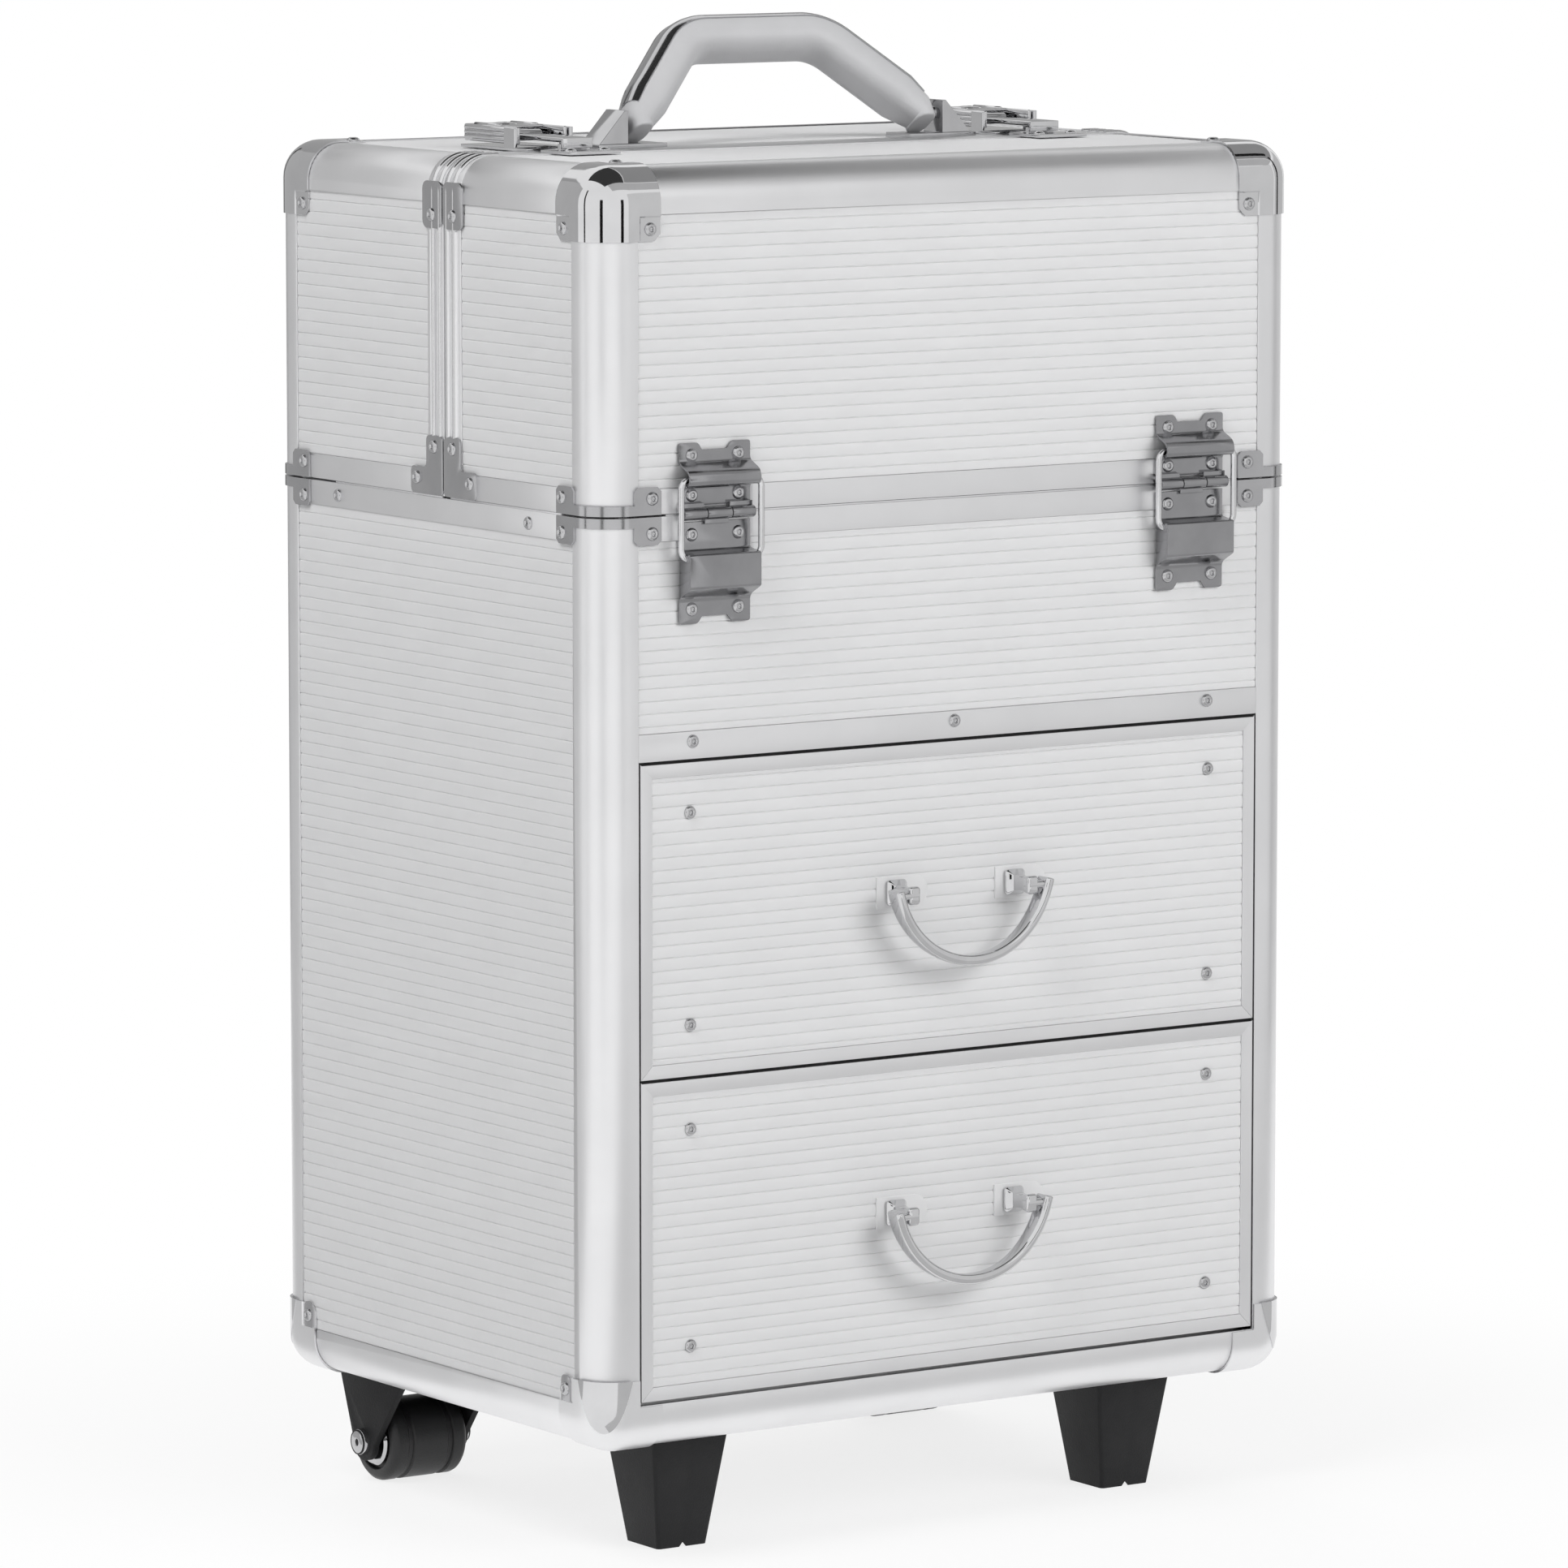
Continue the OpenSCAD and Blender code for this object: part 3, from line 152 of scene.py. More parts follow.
for name, place, aim, size, grey in (
        ("ceiling_card", (-0.25, 0.1, 2.3), (-0.25, 0.101, 0.0), (1.9, 2.3), 0.05),
        ("roll_card", (1.75, 0.2, 2.3), (1.75, 0.201, 0.0), (2.0, 2.4), 0.33),
        ("brow_card", (0.9, -1.55, 2.2), (0.9, -1.549, 0.0), (3.4, 1.1), 0.55),
        ("left_card", (-2.45, -1.78, 0.62), (0, 0, 0.62), (0.44, 1.12), 0.01),
        ("right_card", (0.26, -2.95, 0.62), (0, 0, 0.62), (0.44, 1.12), 0.01),
        ("front_card", (0.62, -0.85, 0.52), (0, 0, 0.52), (0.8, 1.04), 0.75),
        ("right_wing_card", (1.10, -0.12, 0.52), (0, -0.1, 0.52), (1.0, 1.04), 0.64),
        ("rear_card", (-0.50, 0.72, 0.52), (0, 0, 0.52), (0.8, 1.04), 0.52),
        ("back_card", (0.3, 1.6, 0.80), (0.3, 0, 0.80), (3.6, 1.6), 0.40),
        ("front_floor_card", (0.50, -0.65, 0.003), (0.5, -0.649, -1.0), (1.5, 0.94), 0.62),
        ("rear_floor_card", (-0.60, 0.60, 0.003), (-0.6, 0.601, -1.0), (0.8, 1.0), 0.56),
        ("flag_0", (0.90, -0.33, 0.6), (0, 0, 0.6), (0.09, 1.2), 0.01),
        ("flag_1", (-1.18, 0.21, 0.6), (0, 0, 0.6), (0.09, 1.2), 0.01),
        ("flag_2", (-0.06, 1.3, 0.6), (0, 0, 0.6), (0.09, 1.2), 0.01),
        ("bar_flag", (1.45, -0.50, 2.24), (1.45, -0.499, 0.0), (0.7, 0.3), 0.01)):
    card_mat, tree = bare_material(name + "_paint")
    card_glow = add_node(tree, "Emission", {"Color": (grey, grey, grey, 1.0)})
    wire(tree, (card_glow, "Emission", add_node(tree, "OutputMaterial"), "Surface"))
    bm = bmesh.new()
    bmesh.ops.create_grid(bm, x_segments=1, y_segments=1, size=0.5)
    bmesh.ops.scale(bm, vec=(*size, 1.0), verts=bm.verts)
    bm.transform(Matrix.Translation(place) @ aimed(place, aim).to_matrix().to_4x4())
    card = new_object(name, bm, card_mat)
    card.visible_camera = False
    card.visible_diffuse = False
    card.visible_shadow = False
    card.visible_transmission = False


# Boards: thin painted fibreboard, slid into the slots of the edge extrusions.
# Body sides, back, bottom, shelf and front apron, lid walls and lid tops.
EVEN = (1.0, 1.0, 1.0)
soft_mottle = bpy.data.node_groups.new("soft_mottle", "ShaderNodeTree")
for name, value in (("Scale", 1.0), ("Low", 0.0), ("High", 1.0),
                    ("Along", 1.0), ("Across", 1.0), ("Up", 1.0)):
    made = soft_mottle.interface.new_socket(name=name, in_out="INPUT",
                                            socket_type="NodeSocketFloat")
    made.default_value = value
soft_mottle.interface.new_socket(name="Value", in_out="OUTPUT", socket_type="NodeSocketFloat")
g_in = soft_mottle.nodes.new("NodeGroupInput")
g_out = soft_mottle.nodes.new("NodeGroupOutput")
g_coord = add_node(soft_mottle, "TexCoord")
g_stretch = add_node(soft_mottle, "CombineXYZ")
g_scaled = add_node(soft_mottle, "VectorMath", operation="MULTIPLY")
g_noise = add_node(soft_mottle, "TexNoise", {"Detail": 4.0})
g_range = add_node(soft_mottle, "MapRange", {"From Min": 0.25, "From Max": 0.75})
wire(soft_mottle, (g_in, "Along", g_stretch, "X"), (g_in, "Across", g_stretch, "Y"),
     (g_in, "Up", g_stretch, "Z"), (g_coord, "Object", g_scaled, 0),
     (g_stretch, "Vector", g_scaled, 1), (g_scaled, "Vector", g_noise, "Vector"),
     (g_in, "Scale", g_noise, "Scale"), (g_noise, "Fac", g_range, "Value"),
     (g_in, "Low", g_range, "To Min"), (g_in, "High", g_range, "To Max"),
     (g_range, "Result", g_out, "Value"))


def mottle(tree, scale, low, high, stretch):
    node = add_node(tree, "Group", node_tree=soft_mottle)
    for socket, value in zip(node.inputs, (scale, low, high, *stretch)):
        socket.default_value = value
    return node.outputs["Value"]


def rgba(tone, blue):
    return (*tone, 1.0) if isinstance(tone, tuple) else (tone, tone, tone + blue, 1.0)


def finish(name, low, high, metallic, rough, scale, stretch=EVEN, bump=0.0, grain=900.0, blue=0.01):
    mat = bpy.data.materials.new(name)
    mat.use_nodes = True
    tree = mat.node_tree
    bsdf = tree.nodes["Principled BSDF"]
    bsdf.inputs["Metallic"].default_value = metallic
    tone = add_node(tree, "Mix", {"A": rgba(low, blue), "B": rgba(high, blue)}, data_type="RGBA")
    tree.links.new(mottle(tree, scale, 0.0, 1.0, stretch), tone.inputs["Factor"])
    tree.links.new(tone.outputs["Result"], bsdf.inputs["Base Color"])
    tree.links.new(mottle(tree, scale * 0.6, *rough, stretch), bsdf.inputs["Roughness"])
    if bump:
        lift = add_node(tree, "Bump", {"Strength": bump, "Distance": 0.0003})
        tree.links.new(mottle(tree, grain, 0.0, 1.0, stretch), lift.inputs["Height"])
        tree.links.new(lift.outputs["Normal"], bsdf.inputs["Normal"])
    return mat


board_paint = finish("board_paint", 0.60, 0.66, 0.0, (0.5, 0.62), 50.0, bump=0.15)
for name in ("case_panels", "front_lid_panels", "rear_lid_panels"):
    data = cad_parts[name].data
    data.materials.clear()
    data.materials.append(board_paint)


# Ribbed facing: thin satin sheet rolled into shallow ribs with a narrow groove
# between each two, bonded to the boards between the lips of the extrusions.
# From here on every size is in millimetres; add_piece() turns it into metres.
MM = 0.001
half_wide, half_deep = 170.0, 122.5
left_x, front_y = -half_wide, -half_deep
base_z, body_top, lid_low, top_z = 48.0, 419.6, 420.4, 556.5
split_front, split_rear = -10.4, -9.6
edge_w, strip_w, split_w, play = 18.75, 10.0, 12.0, 0.1
HERE = Matrix.Identity(4)
HALF_TURN = Matrix.Rotation(math.pi, 4, "Z")
halves = (("front", split_front, HERE), ("rear", -split_rear, HALF_TURN))
rib_pitch, rib_shoulder, groove_half, rib_margin = 5.0, 0.38, 0.4, 3.0
sheet_t, sheet_back = 0.35, 0.02
rib_line = ((0.0, 0.0), (0.4, 0.38), (0.9, 0.45), (1.7, 0.51), (2.5, 0.53), (3.3, 0.51),
            (4.1, 0.45), (4.6, 0.38))


def add_piece(bm, name, mat, body, slot, *nodes, sharp=35.0):
    bm.transform(Matrix.Scale(MM, 4))
    piece = new_object(name, bm, mat)
    mesh = piece.data
    mesh.polygons.foreach_set("use_smooth", [True] * len(mesh.polygons))
    mesh.set_sharp_from_angle(angle=math.radians(sharp))
    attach(piece, body)
    if nodes:
        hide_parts(*nodes)


def keep_shape(bm):
    shape = bpy.data.meshes.new("shape")
    bm.to_mesh(shape)
    bm.free()
    return shape


def stamp(bm, shape, place):
    verts_before, faces_before = len(bm.verts), len(bm.faces)
    bm.from_mesh(shape)
    bm.verts.ensure_lookup_table()
    bm.faces.ensure_lookup_table()
    bmesh.ops.transform(bm, matrix=place, verts=bm.verts[verts_before:])
    if place.determinant() < 0:
        bmesh.ops.reverse_faces(bm, faces=bm.faces[faces_before:])


def at(x, y, z, turn=0.0, tilt=0.0):
    return (Matrix.Translation((x, y, z)) @ Matrix.Rotation(math.radians(turn), 4, "Z")
            @ Matrix.Rotation(math.radians(tilt), 4, "X"))


def verts_in(geom):
    return [g for g in geom if isinstance(g, bmesh.types.BMVert)]


def face_out(bm):
    bmesh.ops.recalc_face_normals(bm, faces=bm.faces)


def fill_open(bm):
    bmesh.ops.holes_fill(bm, edges=[e for e in bm.edges if e.is_boundary], sides=0)
    face_out(bm)


def face_front(bm):
    if bm.faces[:][0].normal.y > 0:
        bmesh.ops.reverse_faces(bm, faces=bm.faces)


def ribbed_sheet(wide, high):
    count = int((high - rib_margin) // rib_pitch)
    margin = (high - count * rib_pitch) / 2
    last = margin + count * rib_pitch
    spots = [(0.0, rib_shoulder), (margin - groove_half, rib_shoulder)]
    spots += [(margin + i * rib_pitch + off, lift) for i in range(count) for off, lift in rib_line]
    spots += [(last, 0.0), (last + groove_half, rib_shoulder), (high, rib_shoulder)]
    rows = len(spots) - 1
    bm = bmesh.new()
    bmesh.ops.create_grid(bm, x_segments=1, y_segments=rows, size=1.0)
    for v in bm.verts:
        rise, lift = spots[round((v.co.y + 1.0) / 2.0 * rows)]
        v.co = (v.co.x * wide / 2, -sheet_t - lift, rise)
    face_out(bm)
    face_front(bm)
    rim = [e for e in bm.edges if e.is_boundary]
    for v in verts_in(bmesh.ops.extrude_edge_only(bm, edges=rim)["geom"]):
        v.co.y = -sheet_back
    fill_open(bm)
    return keep_shape(bm)


facing = finish("ribbed_facing", 0.70, 0.73, 0.0, (0.38, 0.46), 35.0, (1.0, 1.0, 4.0), 0.05, 500.0,
                0.005)
sheet_in, sheet_edge, apron_z = 1.3, edge_w + play, 334.1
sheet_wide = 2 * (half_wide - sheet_edge)
body_sheet_z, body_sheet_top = base_z + sheet_edge, body_top - strip_w - play
body_sheet_h = body_sheet_top - body_sheet_z
side_sheet = ribbed_sheet(2 * (half_deep - sheet_edge), body_sheet_h)
case_ribs = bmesh.new()
stamp(case_ribs, side_sheet, at(left_x + sheet_in, 0, body_sheet_z, -90))
stamp(case_ribs, side_sheet, at(half_wide - sheet_in, 0, body_sheet_z, 90))
stamp(case_ribs, ribbed_sheet(sheet_wide, body_sheet_h),
      at(0, half_deep - sheet_in, body_sheet_z, 180))
stamp(case_ribs, ribbed_sheet(sheet_wide, body_sheet_top - apron_z),
      at(0, front_y + sheet_in, apron_z))
add_piece(case_ribs, "case_ribbed_facing", facing, "case", "ribbed_skin", "case_skins")

lid_sheet_z = lid_low + strip_w + play
lid_sheet_h = top_z - sheet_edge - lid_sheet_z
for side, edge_y, turn in halves:
    deep = edge_y + half_deep - edge_w - split_w - 2 * play
    start = front_y + sheet_edge
    wing = ribbed_sheet(deep, lid_sheet_h)
    lid_ribs = bmesh.new()
    for shape, place in (
            (ribbed_sheet(sheet_wide, lid_sheet_h), at(0, front_y + sheet_in, lid_sheet_z)),
            (wing, at(left_x + sheet_in, start + deep / 2, lid_sheet_z, -90)),
            (wing, at(half_wide - sheet_in, start + deep / 2, lid_sheet_z, 90)),
            (ribbed_sheet(sheet_wide, deep), at(0, start, top_z - sheet_in, 0, -90))):
        stamp(lid_ribs, shape, turn @ place)
    add_piece(lid_ribs, side + "_lid_ribbed_facing", facing, side + "_lid", "ribbed_skin",
              side + "_lid_skins")


# Edge extrusions: satin anodised aluminium, mitred lengths that hold the boards
# in their slots, with channel strips along the parting line and the lid split.
weld_gap, flat_lean, rim_lean = 0.002, math.radians(0.6), math.radians(40)


def bevel(bm, geom, offset, segments=2, affect="EDGES", clamp=True):
    bmesh.ops.bevel(bm, geom=geom, offset=offset, offset_type="OFFSET", segments=segments,
                    profile=0.5, affect=affect, clamp_overlap=clamp, material=-1)


def softened(node, name, radius, mat, body, slot, segments=2):
    bm = bmesh.new()
    bm.from_mesh(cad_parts[node].data)
    bm.transform(Matrix.Scale(1.0 / MM, 4))
    bmesh.ops.remove_doubles(bm, verts=bm.verts, dist=weld_gap)
    bmesh.ops.dissolve_limit(bm, angle_limit=flat_lean, use_dissolve_boundaries=False,
                             verts=bm.verts, edges=bm.edges)
    rims = [e for e in bm.edges if e.is_manifold and e.calc_face_angle() > rim_lean]
    bevel(bm, rims, radius, segments)
    add_piece(bm, name, mat, body, slot, node)


def box(bm, size, place):
    verts = bmesh.ops.create_cube(bm, size=1.0)["verts"]
    bmesh.ops.scale(bm, vec=size, verts=verts)
    bmesh.ops.translate(bm, vec=place, verts=verts)


satin_edge = finish("satin_edge", 0.83, 0.88, 1.0, (0.35, 0.42), 30.0, bump=0.04, grain=1500.0)
for body in ("case", "front_lid", "rear_lid"):
    softened(body + "_edges", body + "_edges_soft", 0.22, satin_edge, body, "edge_aluminium")
lip_in, lip_wide, lip_high, lip_z = 1.7, 2.0, 0.8, body_top + 0.2
lip_long, side_lip_long, side_lip_y = 276.0, 82.0, (-54.0, 34.0)
lip = bmesh.new()
for sign in (-1, 1):
    box(lip, (lip_long, lip_wide, lip_high), (0.0, sign * (half_deep - lip_in), lip_z))
    for y in side_lip_y:
        box(lip, (lip_wide, side_lip_long, lip_high), (sign * (half_wide - lip_in), y, lip_z))
bevel(lip, lip.edges[:], 0.12)
add_piece(lip, "parting_lip", satin_edge, "case", "edge_aluminium")


# Corner caps: drawn steel, polished and plated, pressed over the corners of the
# extrusions and riveted through a lowered tab on each flat face; the bottom four
# are satin shells with a bright shield round the upright.
cap_leg, cap_t, cap_sheet, edge_r = 29.0, 0.9, 0.8, 14.5
tab_from, tab_to, tab_sink, drawer_edge = edge_w + 0.3, edge_w + 0.9, 0.5, edge_w - 0.4
cap_bites = ((45.0, 2.0), (22.5, 0.85), (67.5, 0.85))
skirt_low, skirt_sweep, skirt_power, skirt_top = 8.5, 20.0, 2.2, cap_leg + 0.3
skirt_sheet, skirt_gap = 0.3, 0.25
X, Y, Z = (Vector(row) for row in Matrix.Identity(3))
MIRROR_X = Matrix.Scale(-1.0, 4, (1, 0, 0))
MIRROR_Z = Matrix.Scale(-1.0, 4, (0, 0, 1))


def centre(face):
    return face.calc_center_median()


def slice_by(bm, point, normal, clear=False, geom=None):
    bmesh.ops.bisect_plane(bm, geom=geom or bm.verts[:] + bm.edges[:] + bm.faces[:],
                           plane_co=point, plane_no=normal, clear_outer=clear)


def shell(bm, middle, thickness):
    face_out(bm)
    if sum((centre(f) - Vector(middle)).dot(f.normal) for f in bm.faces) < 0:
        bmesh.ops.reverse_faces(bm, faces=bm.faces)
    bmesh.ops.solidify(bm, geom=bm.faces[:], thickness=thickness)
    face_out(bm)
    return keep_shape(bm)


def tilted(first, second, lean):
    return first * math.cos(math.radians(lean)) + second * math.sin(math.radians(lean))


def cap_shape(drawer_side):
    bm = bmesh.new()
    bmesh.ops.create_cube(bm, size=cap_leg + cap_t)
    bmesh.ops.translate(bm, vec=[(cap_leg - cap_t) / 2] * 3, verts=bm.verts)
    bmesh.ops.delete(bm, geom=[f for f in bm.faces if max(f.normal) > 0.5], context="FACES")
    bevel(bm, [e for e in bm.edges if not e.is_boundary], edge_r + cap_t, 10, clamp=False)
    for axis in (X, Y, Z):
        for cut in (tab_from, tab_to):
            slice_by(bm, axis * cut, axis)
    for v in bm.verts:
        high = [i for i in range(3) if v.co[i] > (tab_from + tab_to) / 2]
        if len(high) == 2:
            v.co[3 - sum(high)] += tab_sink
    for first, second in ((X, Y), (X, Z), (Y, Z)):
        for lean, bite in cap_bites:
            normal = tilted(first, second, lean)
            slice_by(bm, normal * (sum(normal) * cap_leg - bite), normal, True)
    if drawer_side:
        slice_by(bm, Z * drawer_edge, Z)
        slice_by(bm, X * drawer_edge, X)
        gone = [f for f in bm.faces if min(centre(f).xz) > drawer_edge and centre(f).y < 2.0]
        bmesh.ops.delete(bm, geom=gone, context="FACES")
    return shell(bm, [cap_leg] * 3, cap_sheet)


def skirt_shape(columns=18, rows=4):
    bm = bmesh.new()
    bmesh.ops.create_grid(bm, x_segments=columns, y_segments=rows, size=1.0)
    reach = edge_r + cap_t + skirt_gap
    for v in bm.verts:
        lean = math.radians(45.0 * (v.co.x + 1.0))
        low = skirt_low + skirt_sweep * abs(v.co.x) ** skirt_power
        rise = low + (skirt_top - low) * (v.co.y + 1.0) / 2
        wide = math.sqrt(reach ** 2 - max(0.0, edge_r - rise) ** 2)
        v.co = (edge_r - wide * math.cos(lean), edge_r - wide * math.sin(lean), rise)
    return shell(bm, (edge_r, edge_r, 20.0), skirt_sheet)


polished_plate = finish("polished_plate", 0.64, 0.70, 1.0, (0.04, 0.08), 80.0)
corners = [(turn, turn @ flip) for turn in (HERE, HALF_TURN) for flip in (HERE, MIRROR_X)]
cap_full, cap_clear, skirt = cap_shape(False), cap_shape(True), skirt_shape()
foot_shells, foot_caps = bmesh.new(), bmesh.new()
for turn, corner in corners:
    place = corner @ at(left_x, front_y, base_z)
    stamp(foot_shells, cap_clear if turn == HERE else cap_full, place)
    stamp(foot_caps, skirt, place)
add_piece(foot_shells, "bottom_corner_shells", satin_edge, "case", "bright_plate", "case_caps",
          sharp=28.0)
add_piece(foot_caps, "bottom_corner_caps", polished_plate, "case", "bright_plate", sharp=28.0)
for side, edge_y, turn in halves:
    lid_caps = bmesh.new()
    for flip in (HERE, MIRROR_X):
        stamp(lid_caps, cap_full, turn @ flip @ at(left_x, front_y, top_z) @ MIRROR_Z)
    add_piece(lid_caps, side + "_top_corner_caps", polished_plate, side + "_lid", "bright_plate",
              side + "_lid_caps", sharp=28.0)


# Joint plates: pressed sheet steel over the corners at the parting line and
# the ends of the split strips, with rounded tabs, riveted on.
tab_in = 24.2
wrap_h, wrap_band, wrap_tab, wrap_sheet = 11.0, 4.0, 16.5, 0.85
wrap_bites = ((45.0, 1.2), (22.5, 0.5), (67.5, 0.5))
foot_tab_out, head_plate_z = 0.45, top_z - edge_w - 10.5


def sharp_edges(bm, least=1.0):
    return [e for e in bm.edges if e.calc_face_angle(0.0) > least]


def cut_plate(outline, thick, corner, edge=0.18):
    bm = bmesh.new()
    ring = [bm.verts.new((x, 0.0, z)) for x, z in outline]
    bm.faces.new(ring)
    if corner:
        bevel(bm, ring, corner, 4, "VERTICES")
    bm.normal_update()
    face_front(bm)
    out = bmesh.ops.extrude_face_region(bm, geom=bm.faces[:])["geom"]
    bmesh.ops.translate(bm, vec=(0, -thick, 0), verts=verts_in(out))
    face_out(bm)
    bevel(bm, [e for e in sharp_edges(bm) if all(v.co.y < -thick / 2 for v in e.verts)], edge)
    return keep_shape(bm)


def seam_wrap():
    bm = bmesh.new()
    bmesh.ops.create_cube(bm, size=2 * cap_leg)
    bmesh.ops.translate(bm, vec=(cap_leg - cap_t, cap_leg - cap_t, 0), verts=bm.verts)
    away = [f for f in bm.faces if max(f.normal) > 0.5 or f.normal.z < -0.5]
    bmesh.ops.delete(bm, geom=away, context="FACES")
    bevel(bm, [e for e in bm.edges if not e.is_boundary], edge_r + cap_t, 14, clamp=False)
    slice_by(bm, (0, 0, 0), -Z, True)
    for axis, cut in ((Z, wrap_h), (X, cap_leg), (Y, cap_leg)):
        slice_by(bm, axis * cut, axis, True)
    for axis, cut in ((Z, wrap_band), (X, wrap_tab), (Y, wrap_tab)):
        slice_by(bm, axis * cut, axis)
    middle = [f for f in bm.faces if centre(f).z > wrap_band and max(centre(f).xy) < wrap_tab]
    bmesh.ops.delete(bm, geom=middle, context="FACES")
    for a, axis in enumerate((X, Y)):
        for sign, reach in ((1.0, cap_leg), (-1.0, -wrap_tab)):
            for lean, bite in wrap_bites:
                normal = tilted(axis * sign, Z, lean)
                away = abs(normal[a]) * reach + normal.z * wrap_h - bite
                tab = [f for f in bm.faces if centre(f)[a] > wrap_tab - 0.1]
                geom = tab + list({e for f in tab for e in f.edges})
                geom += list({v for f in tab for v in f.verts})
                slice_by(bm, normal * away, normal, True, geom)
    return shell(bm, (cap_leg, cap_leg, 5.0), wrap_sheet)


pressed_plate = finish("pressed_plate", 0.45, 0.51, 1.0, (0.14, 0.22), 70.0)
wrap = seam_wrap()
foot_tab = cut_plate([(-3.2, -6.8), (3.2, -6.8), (3.2, 5.6), (-3.2, 5.6)], 0.4, 2.4, 0.12)
body_wraps = bmesh.new()
for turn, corner in corners:
    stamp(body_wraps, wrap, corner @ at(left_x, front_y, body_top) @ MIRROR_Z)
    stamp(body_wraps, foot_tab,
          corner @ at(left_x - foot_tab_out, front_y + tab_in, base_z + tab_in, -90))
    if turn == HALF_TURN:
        stamp(body_wraps, foot_tab,
              corner @ at(left_x + tab_in, front_y - foot_tab_out, base_z + tab_in))
add_piece(body_wraps, "body_seam_plates", pressed_plate, "case", "bright_plate", sharp=28.0)
foot_plate = cut_plate([(0, 0), (24, 0), (24, 11), (12.4, 11), (12.4, 24), (0, 24)], cap_t, 2.2)
head_plate = cut_plate([(0, 0), (14.5, 0), (14.5, 19), (0, 19)], cap_t, 3.4)
for side, edge_y, turn in halves:
    plates = bmesh.new()
    for flip in (HERE, MIRROR_X):
        for shape, place in ((wrap, at(left_x, front_y, lid_low)),
                             (foot_plate, at(left_x, edge_y, lid_low, -90)),
                             (head_plate, at(left_x, edge_y, head_plate_z, -90))):
            stamp(plates, shape, turn @ flip @ place)
    add_piece(plates, side + "_joint_plates", pressed_plate, side + "_lid", "bright_plate",
              sharp=28.0)


# Split beads: bright beads rolled into the strips along the lid split; they
# run up the side, over the top rounding and end on the lid top.
bead_r, bead_low = 1.15, lid_low + 23.8


def loop_of(bm, spots):
    ring = [bm.verts.new(s) for s in spots]
    return [bm.edges.new(pair) for pair in zip(ring, ring[1:] + ring[:1])]


def run(bm, loop, step):
    out = bmesh.ops.extrude_edge_only(bm, edges=loop)["geom"]
    verts = verts_in(out)
    bmesh.ops.translate(bm, vec=step, verts=verts)
    edges = [g for g in out if isinstance(g, bmesh.types.BMEdge)]
    return [e for e in edges if all(v in verts for v in e.verts)]


def turn_loop(bm, loop, middle, degrees, steps):
    geom = list({v for e in loop for v in e.verts}) + loop
    out = bmesh.ops.spin(bm, geom=geom, cent=middle, axis=Y, angle=math.radians(degrees),
                         steps=steps, use_duplicate=False)["geom_last"]
    return [g for g in out if isinstance(g, bmesh.types.BMEdge)]


def close_ends(bm):
    bmesh.ops.remove_doubles(bm, verts=bm.verts, dist=0.001)
    fill_open(bm)


def circle_spots(radius, count):
    turns = [2 * math.pi * i / count for i in range(count)]
    return [(radius * math.cos(a), radius * math.sin(a)) for a in turns]


bright_bead = finish("bright_bead", 0.70, 0.76, 1.0, (0.10, 0.18), 90.0)
for side, edge_y, turn in halves:
    beads = bmesh.new()
    for flip in (HERE, MIRROR_X):
        for share in (0.2, 0.62):
            bead = bmesh.new()
            y = edge_y - share * split_w
            loop = loop_of(bead, [(left_x + 0.1 + u, y + w, bead_low)
                                  for u, w in circle_spots(bead_r, 10)])
            loop = run(bead, loop, (0, 0, top_z - edge_r - bead_low))
            loop = turn_loop(bead, loop, (left_x + edge_r, y, top_z - edge_r), 90, 12)
            run(bead, loop, (6.0, 0, 0))
            close_ends(bead)
            stamp(beads, keep_shape(bead), turn @ flip)
    add_piece(beads, side + "_split_beads", bright_bead, side + "_lid", "edge_aluminium",
              sharp=50.0)


# Rivets: plated steel tubular rivets, domed heads with a sunk centre, set
# through the plates, strips and hinge leaves into the boards.
wrap_head_x, wrap_head_y, wrap_head_z = 24.6, 25.0, 6.5
side_head_y, rail_head_x, rail_z = 72.0, 126.0, 330.0
cap_head_out, foot_head_out = 0.4, 0.8
near_head, far_head, top_head_in, top_head_z = 6.5, 19.5, 7.5, top_z - edge_w - 5
rivet_line = [(2.75, 0.0), (2.75, -0.25), (2.45, -0.85), (1.9, -1.25), (1.4, -1.4), (1.05, -1.2),
              (0.85, -0.5), (0.0, -0.2)]


def lathe(line, axis, steps, closed=False):
    out = Z if axis == X else X
    bm = bmesh.new()
    verts = [bm.verts.new(axis * height + out * radius) for radius, height in line]
    after = verts[1:] + verts[:1] if closed else verts[1:]
    edges = [bm.edges.new(pair) for pair in zip(verts, after)]
    bmesh.ops.spin(bm, geom=verts + edges, cent=(0, 0, 0), axis=axis, angle=2 * math.pi,
                   steps=steps, use_merge=True, use_duplicate=False)
    close_ends(bm)
    return keep_shape(bm)


rivet = lathe(rivet_line, Y, 14)
rivet_steel = finish("rivet_steel", 0.50, 0.58, 1.0, (0.06, 0.12), 120.0)
case_heads = bmesh.new()
for turn, corner in corners:
    places = [at(left_x + wrap_head_x, front_y - cap_t, body_top - wrap_head_z),
              at(left_x - cap_t, front_y + wrap_head_y, body_top - wrap_head_z, -90),
              at(left_x - foot_head_out, front_y + tab_in, base_z + tab_in, -90),
              at(left_x, side_head_y, body_top - strip_w / 2, -90)]
    if turn == HALF_TURN:
        places.append(at(left_x + tab_in, front_y - foot_head_out, base_z + tab_in))
    for place in places:
        stamp(case_heads, rivet, corner @ place)
for x in (-rail_head_x, 0, rail_head_x):
    stamp(case_heads, rivet, at(x, front_y, rail_z))
add_piece(case_heads, "case_rivet_heads", rivet_steel, "case", "bright_plate", "case_rivets",
          sharp=50.0)
